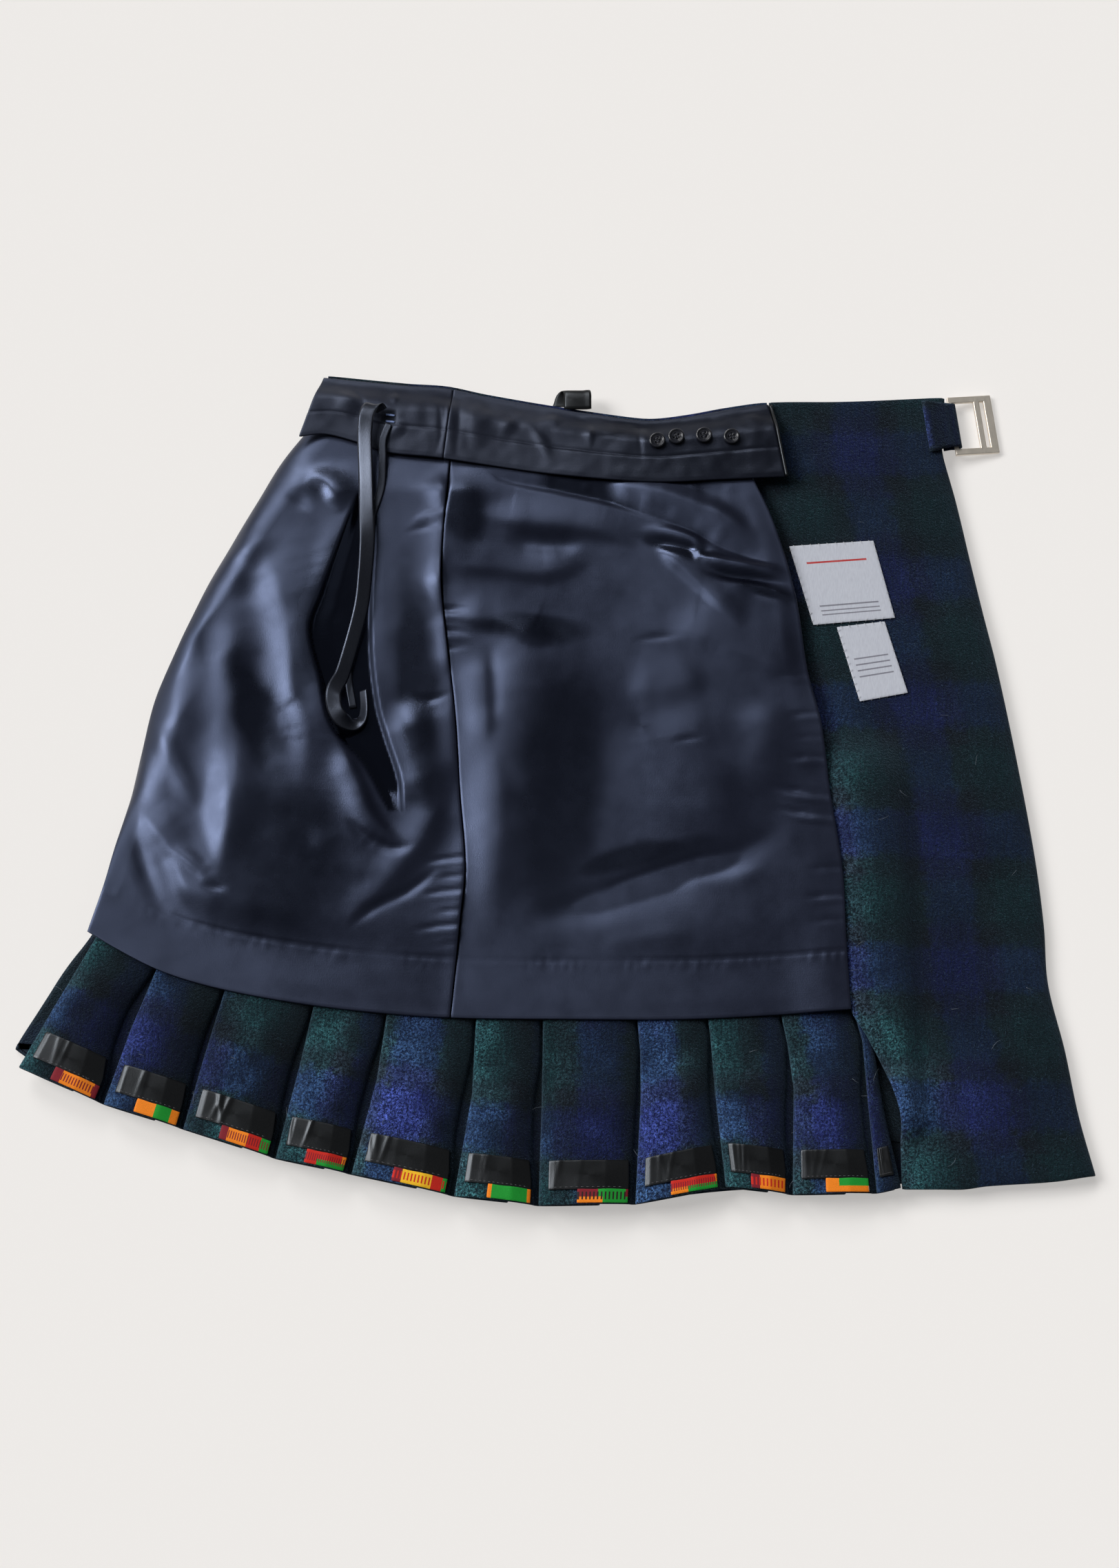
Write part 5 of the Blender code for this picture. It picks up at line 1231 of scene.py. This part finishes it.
def rods(name, routes, radius, finish, sides=6):
    """Round threads along short routes, all in one piece."""
    points = []
    faces = []
    for route in routes:
        route = np.asarray(route, float)
        faces += ring_faces(len(points), len(route), sides)
        for i, centre in enumerate(route):
            ahead = way_at(route, i)
            across = ahead.cross(Vector((0.3, 0.2, 0.93))).normalized()
            other = ahead.cross(across)
            for k in range(sides):
                a, b = around(radius, 360.0 * k / sides)
                points.append(tuple(Vector(centre) + across * a + other * b))
    made(name, mesh_of(name, points, faces), finish)


def button_top(x, y):
    """The height of a button's upper face from its base: a dished middle, four holes and a rounded rim."""
    away = np.hypot(x, y)
    dish = BUTTON_THICK - BUTTON_DISH * (1.0 - ease((away - 3.3) / 1.1))
    rim = BUTTON_THICK - 0.9 * (1.0 - np.sqrt(np.maximum(1.0
                                                         - np.maximum((away - 4.7) / 0.9, 0.0) ** 2, 0.0)))
    holes = sum(ease((0.95 - np.hypot(x - a, y - b)) / 0.35) for a in HOLES_AT for b in HOLES_AT)
    return float(np.minimum(dish, rim) - 0.9 * holes)


def make_buttons():
    """Four-hole buttons with a raised rim, and the thread that crosses their holes."""
    radii = np.append(np.linspace(0.0, 2.6, 14)[1:], np.linspace(2.6, BUTTON_RADIUS, 13)[1:])
    steps = (-0.8 * BUTTON_RADIUS, 0.0, 0.8 * BUTTON_RADIUS)
    for number, ((x, y), turn) in enumerate(zip(BUTTONS, BUTTON_TURNS), 1):
        place = Matrix.Translation((x, y, float(highest(facing_top_at, x, y, steps, steps)) + GAP))
        place = place @ Matrix.Rotation(turn, 4, "Z")
        spots = [(0.0, 0.0, button_top(0.0, 0.0))]
        for radius in radii:
            ring = [around(radius, 360.0 * k / SPOKES) for k in range(SPOKES)]
            spots += [(a, b, button_top(a, b)) for a, b in ring]
        for radius, z in ((BUTTON_RADIUS, 0.7), (BUTTON_RADIUS - 1.0, 0.0)):
            spots += [(*around(radius, 360.0 * k / SPOKES), z) for k in range(SPOKES)]
        faces = [(0, 1 + k, 1 + (k + 1) % SPOKES) for k in range(SPOKES)]
        for low in range(1, 1 + (len(radii) + 1) * SPOKES, SPOKES):
            for k in range(SPOKES):
                m = (k + 1) % SPOKES
                faces.append((low + k, low + SPOKES + k, low + SPOKES + m, low + m))
        faces.append(tuple(range(len(spots) - 1, len(spots) - 1 - SPOKES, -1)))
        name = f"button_{number}_plastic"
        points = [tuple(place @ Vector(p)) for p in spots]
        made(name, mesh_of(name, points, faces), PLASTIC, nodes=(f"button_{number}",))
        routes = []
        for b in [side + offset for side in HOLES_AT for offset in (-0.28, 0.0, 0.28)]:
            dips = [(share, max(abs(share) - 0.6, 0.0) / 0.4) for share in np.linspace(-1.0, 1.0, 7)]
            routes.append([tuple(place @ Vector((share * 1.05 * HOLE_REACH, b, THREAD_TOP - dip)))
                           for share, dip in dips])
        rods(f"button_{number}_thread", routes, 0.17, THREAD)


def make_stitches():
    """The bar tacks of the ribbon's slot, and the small stitches that hold the labels."""
    bars = []
    for v in (601, 611):
        for offset in (-0.45, 0.0, 0.45):
            line = []
            for share in np.linspace(0.0, 1.0, 6):
                x, y = spot(560 + 13 * share, v + 2 * share, 22.0) + (0.0, offset)
                line.append((x, y, float(facing_top_at(x, y)) + 0.5 + 0.3 * math.sin(math.pi * share)))
            bars.append(line)
    rods("slot_tacks_thread", bars, 0.26, PALE_THREAD)
    whips = []
    for corners, few in ((LABEL_LARGE, 10), (LABEL_SMALL, 6)):
        corners = np.array(corners, float)
        centre = corners.mean(axis=0)
        for first, second, count in ((0, 1, few), (2, 3, few), (0, 2, 11), (1, 3, 11)):
            start, end = corners[first], corners[second]
            along = (end - start) / length_of(end - start)
            inward = np.array((-along[1], along[0]))
            if np.dot(inward, centre - start) < 0.0:
                inward = -inward
            for k in range(count):
                line = []
                for share in (-0.8, -0.3, 0.4, 1.2):
                    x, y = blend(start, end, (k + 0.5) / count) + inward * share + along * (0.5 * share)
                    lift = 0.3 if share < -0.5 else 1.75
                    line.append((x, y, float(apron_height(x, y)) + APRON_WALL + lift))
                whips.append(line)
    rods("label_stitches_thread", whips, 0.14, LABEL_THREAD, 5)


def hairs(name, roots, lengths, radius, finish, seed):
    """Short bent hairs, each a closed three-sided prism, that stand or lie on cloth."""
    chance = np.random.default_rng(seed)
    points = []
    faces = []
    for root, length in zip(roots, lengths):
        swing = chance.uniform(0.0, 2.0 * math.pi)
        bend = chance.uniform(-1.2, 1.2)
        tilt = chance.uniform(0.1, 0.5)
        centre = Vector(root)
        faces += ring_faces(len(points), 4, 3)
        for joint in range(4):
            share = joint / 3.0
            angle = swing + bend * share
            heading = Vector((math.cos(angle), math.sin(angle), tilt * (1.0 - 1.6 * share)))
            across = heading.cross(Vector((0.0, 0.0, 1.0))).normalized()
            over = across.cross(heading).normalized()
            for degrees in (90.0, 210.0, 330.0):
                a, b = around(radius * (1.0 - 0.55 * share), degrees)
                points.append(tuple(centre + across * a + over * b))
            centre = centre + heading * (length / 3.0)
    made(name, mesh_of(name, points, faces), finish)


def scatter(middle, weight, count, lift, seed):
    """Places on a sheet's upper face, more of them where the weight is higher."""
    chance = np.random.default_rng(seed)
    flat = middle[1:-1, 1:-1].reshape(-1, 3)
    share = weight[1:-1, 1:-1].ravel()
    picks = chance.choice(len(flat), count, p=share / share.sum())
    return flat[picks] + chance.uniform(-0.6, 0.6, (count, 3)) * (1.0, 1.0, 0.0) + (0.0, 0.0, lift)


def make_hairs(sheets):
    """The wool's raised hairs, and a few long stray ones."""
    chance = np.random.default_rng(71)
    for name, one_in, seed, low, high, radius, finish, look_seed in (
            ("wool_hairs", 1, 72, 0.9, 2.2, 0.09, HAIR, 75),
            ("stray_hairs", 160, 82, 4.0, 9.0, 0.10, STRAY_HAIR, 85)):
        roots = np.concatenate([scatter(middle, weight, count // one_in, lift, seed + k)
                                for k, (middle, weight, lift, count) in enumerate(sheets)])
        hairs(name, roots, chance.uniform(low, high, len(roots)), radius, finish, look_seed)


def buckle_box(start, end, half_width, half_height):
    """A box in the buckle's own frame, put in its place on the bar in the loop."""
    bm = bmesh.new()
    bmesh.ops.create_cube(bm, size=1.0)
    for vert in bm.verts:
        x, y, z = vert.co
        vert.co = Vector((start if x < 0.0 else end, math.copysign(half_width, y),
                          math.copysign(half_height, z))) * MM
    mesh = bpy.data.meshes.new("buckle_metal_frame")
    bm.to_mesh(mesh)
    bm.free()
    turn = Matrix.Rotation(BUCKLE_TURN, 4, "Z") @ Matrix.Rotation(BUCKLE_LEAN, 4, "Y")
    mesh.transform(Matrix.Translation((BUCKLE_AT + Vector(SHIFT)) * MM) @ turn)
    return mesh


def make_buckle():
    """The slide buckle: a flat frame with a window, a middle bar, a slot and a wide outer rail."""
    blank = buckle_box(-BAR_RADIUS, BUCKLE_REACH, BUCKLE_HALF_HEIGHT, 0.5 * BUCKLE_THICK)
    buckle = made("buckle_metal_frame", blank, METAL, body="buckle_frame", nodes=("buckle",))
    cutters = []
    for start, end in ((BAR_RADIUS, MIDDLE_BAR_AT - 0.5 * MIDDLE_BAR_WIDTH),
                       (MIDDLE_BAR_AT + 0.5 * MIDDLE_BAR_WIDTH, BUCKLE_REACH - OUTER_RAIL_WIDTH)):
        mesh = buckle_box(start, end, BUCKLE_HALF_HEIGHT - BUCKLE_RAIL, 5.0)
        cutter = bpy.data.objects.new("buckle_cutter", mesh)
        bpy.context.scene.collection.objects.link(cutter)
        cut = buckle.modifiers.new("cut", "BOOLEAN")
        cut.operation = "DIFFERENCE"
        cut.solver = "EXACT"
        cut.object = cutter
        cutters.append(cutter)
    rounding = buckle.modifiers.new("round", "BEVEL")
    rounding.width = 0.55 * MM
    rounding.segments = 3
    rounding.harden_normals = True
    bpy.context.view_layer.update()
    shape = bpy.data.meshes.new_from_object(buckle.evaluated_get(bpy.context.evaluated_depsgraph_get()))
    buckle.modifiers.clear()
    buckle.data = shape
    for cutter in cutters:
        bpy.data.objects.remove(cutter, do_unlink=True)


def make_strap():
    """The wool tab: doubled cloth on the apron, with an eye round the buckle's bar."""
    place = Matrix.Translation(BUCKLE_AT) @ Matrix.Rotation(BUCKLE_TURN, 4, "Z")
    eye_out = [around(2.4 + STRAP_WALL, angle) for angle in range(110, -131, -30)]
    eye_in = [around(2.4, angle) for angle in range(-130, 111, 30)]
    profile = smooth_line(STRAP_TOP + eye_out + STRAP_UNDER + eye_in + STRAP_LOW, closed=True)
    rings = []
    uvs = []
    painted_light = []
    for side in np.linspace(-1.0, 1.0, 25):
        ring = []
        for a, z in profile:
            half = STRAP_HALF_HEIGHT + 3.0 * float(ease((-a - 4.0) / 14.0))
            ring.append(tuple(place @ Vector((a, side * half, z))))
            uvs.append((a / SETT + 0.93, side * half / SETT + 0.02))
            # Painted light on the strap's far end, away from its eye
            painted_light.append((0.7 * float(ease((-a - 15.0) / 4.0)), 0.0))
        rings.append(ring)
    piece = made("strap_wool", loft("strap_wool", rings, uvs, painted_light), WOOL, nodes=("strap",))


def make_piping():
    """The narrow piping that closes the right end of the facing."""
    rings = []
    for share in np.linspace(0.0, 1.0, 40):
        x = blend(144.0, 153.4, share) + 1.9
        y = blend(270.0, 214.5, share)
        z = float(facing_height(x, share)) + 1.6
        circle = [around(1.0, 30.0 * k) for k in range(12)]
        rings.append([(x + a, y + 0.17 * a, z + b) for a, b in circle])
    made("facing_piping_cord", loft("facing_piping_cord", rings), TAPE, nodes=("facing_piping",))


def staged(name, points, faces, finish):
    """Add a sheet of paper that isn't part of the object."""
    mesh = bpy.data.meshes.new(name)
    mesh.from_pydata(points, [], faces)
    mesh.materials.append(finish.material)
    sheet = bpy.data.objects.new(name, mesh)
    bpy.context.scene.collection.objects.link(sheet)
    return sheet


def make_stage():
    """The camera, the paper floor, a far pale backdrop that lights nothing, and the soft light."""
    scene = bpy.context.scene
    camera = bpy.data.cameras.new("camera")
    camera.lens = LENS
    camera.sensor_width = SENSOR
    camera.clip_start = 0.01
    camera.clip_end = 100.0
    view = bpy.data.objects.new("camera", camera)
    view.location = Vector((LOOK + BACKWARD * DISTANCE + SHIFT) * MM)
    view.rotation_euler = (math.radians(90.0) - ELEVATION, 0.0, 0.0)
    scene.collection.objects.link(view)
    scene.camera = view
    scene.view_settings.view_transform = "Standard"
    scene.view_settings.look = "None"
    scene.view_settings.exposure = 0.0
    scene.view_settings.gamma = 1.0

    paper = Finish("paper", Base_Color=(0.47, 0.455, 0.44, 1.0), Roughness=1.0, Specular_IOR_Level=0.0,
                   Emission_Color=(1.0, 0.972, 0.945, 1.0), Emission_Strength=0.435)
    paper.set(Normal=paper.bump(paper.noise(900.0, 2.0), 0.0001, 0.2))
    corners = [(-1, -1), (1, -1), (1, 1), (-1, 1)]
    staged("floor", [(x * FLOOR_REACH, y * FLOOR_REACH, -0.0004) for x, y in corners], [(0, 1, 2, 3)], paper)
    pale = Finish("backdrop_paper", Base_Color=(0.0, 0.0, 0.0, 1.0), Roughness=1.0, Specular_IOR_Level=0.0,
                  Emission_Color=(0.84, 0.807, 0.783, 1.0), Emission_Strength=1.0)
    circle = [around(WALL_REACH, 18.0 * k) for k in range(20)]
    wall = staged("backdrop", [(x, y, z) for z in (-0.1, 12.0) for x, y in circle],
                  [(k, (k + 1) % 20, 20 + (k + 1) % 20, 20 + k) for k in range(20)], pale)
    wall.visible_diffuse = False
    wall.visible_glossy = False
    wall.visible_shadow = False

    world = bpy.data.worlds.new("room")
    world.use_nodes = True
    world.node_tree.nodes["Background"].inputs["Color"].default_value = (0.92, 0.95, 1.0, 1.0)
    world.node_tree.nodes["Background"].inputs["Strength"].default_value = 0.06
    scene.world = world
    for name, strength, disc, toward in LIGHTS:
        light = bpy.data.lights.new(name, "SUN")
        light.energy = strength
        light.angle = math.radians(disc)
        lamp = bpy.data.objects.new(name, light)
        lamp.rotation_euler = Vector(toward).to_track_quat("Z", "Y").to_euler()
        scene.collection.objects.link(lamp)


make_back()
pleat_sheet = make_pleats()
make_waist_wool()
apron_sheet = make_apron()
make_lining()
make_facing()
make_piping()
make_tapes()
make_patches()
make_ribbons()
make_belt_loop()
make_labels()
make_buttons()
make_stitches()
make_hairs([pleat_sheet, apron_sheet])
make_strap()
make_buckle()
make_stage()
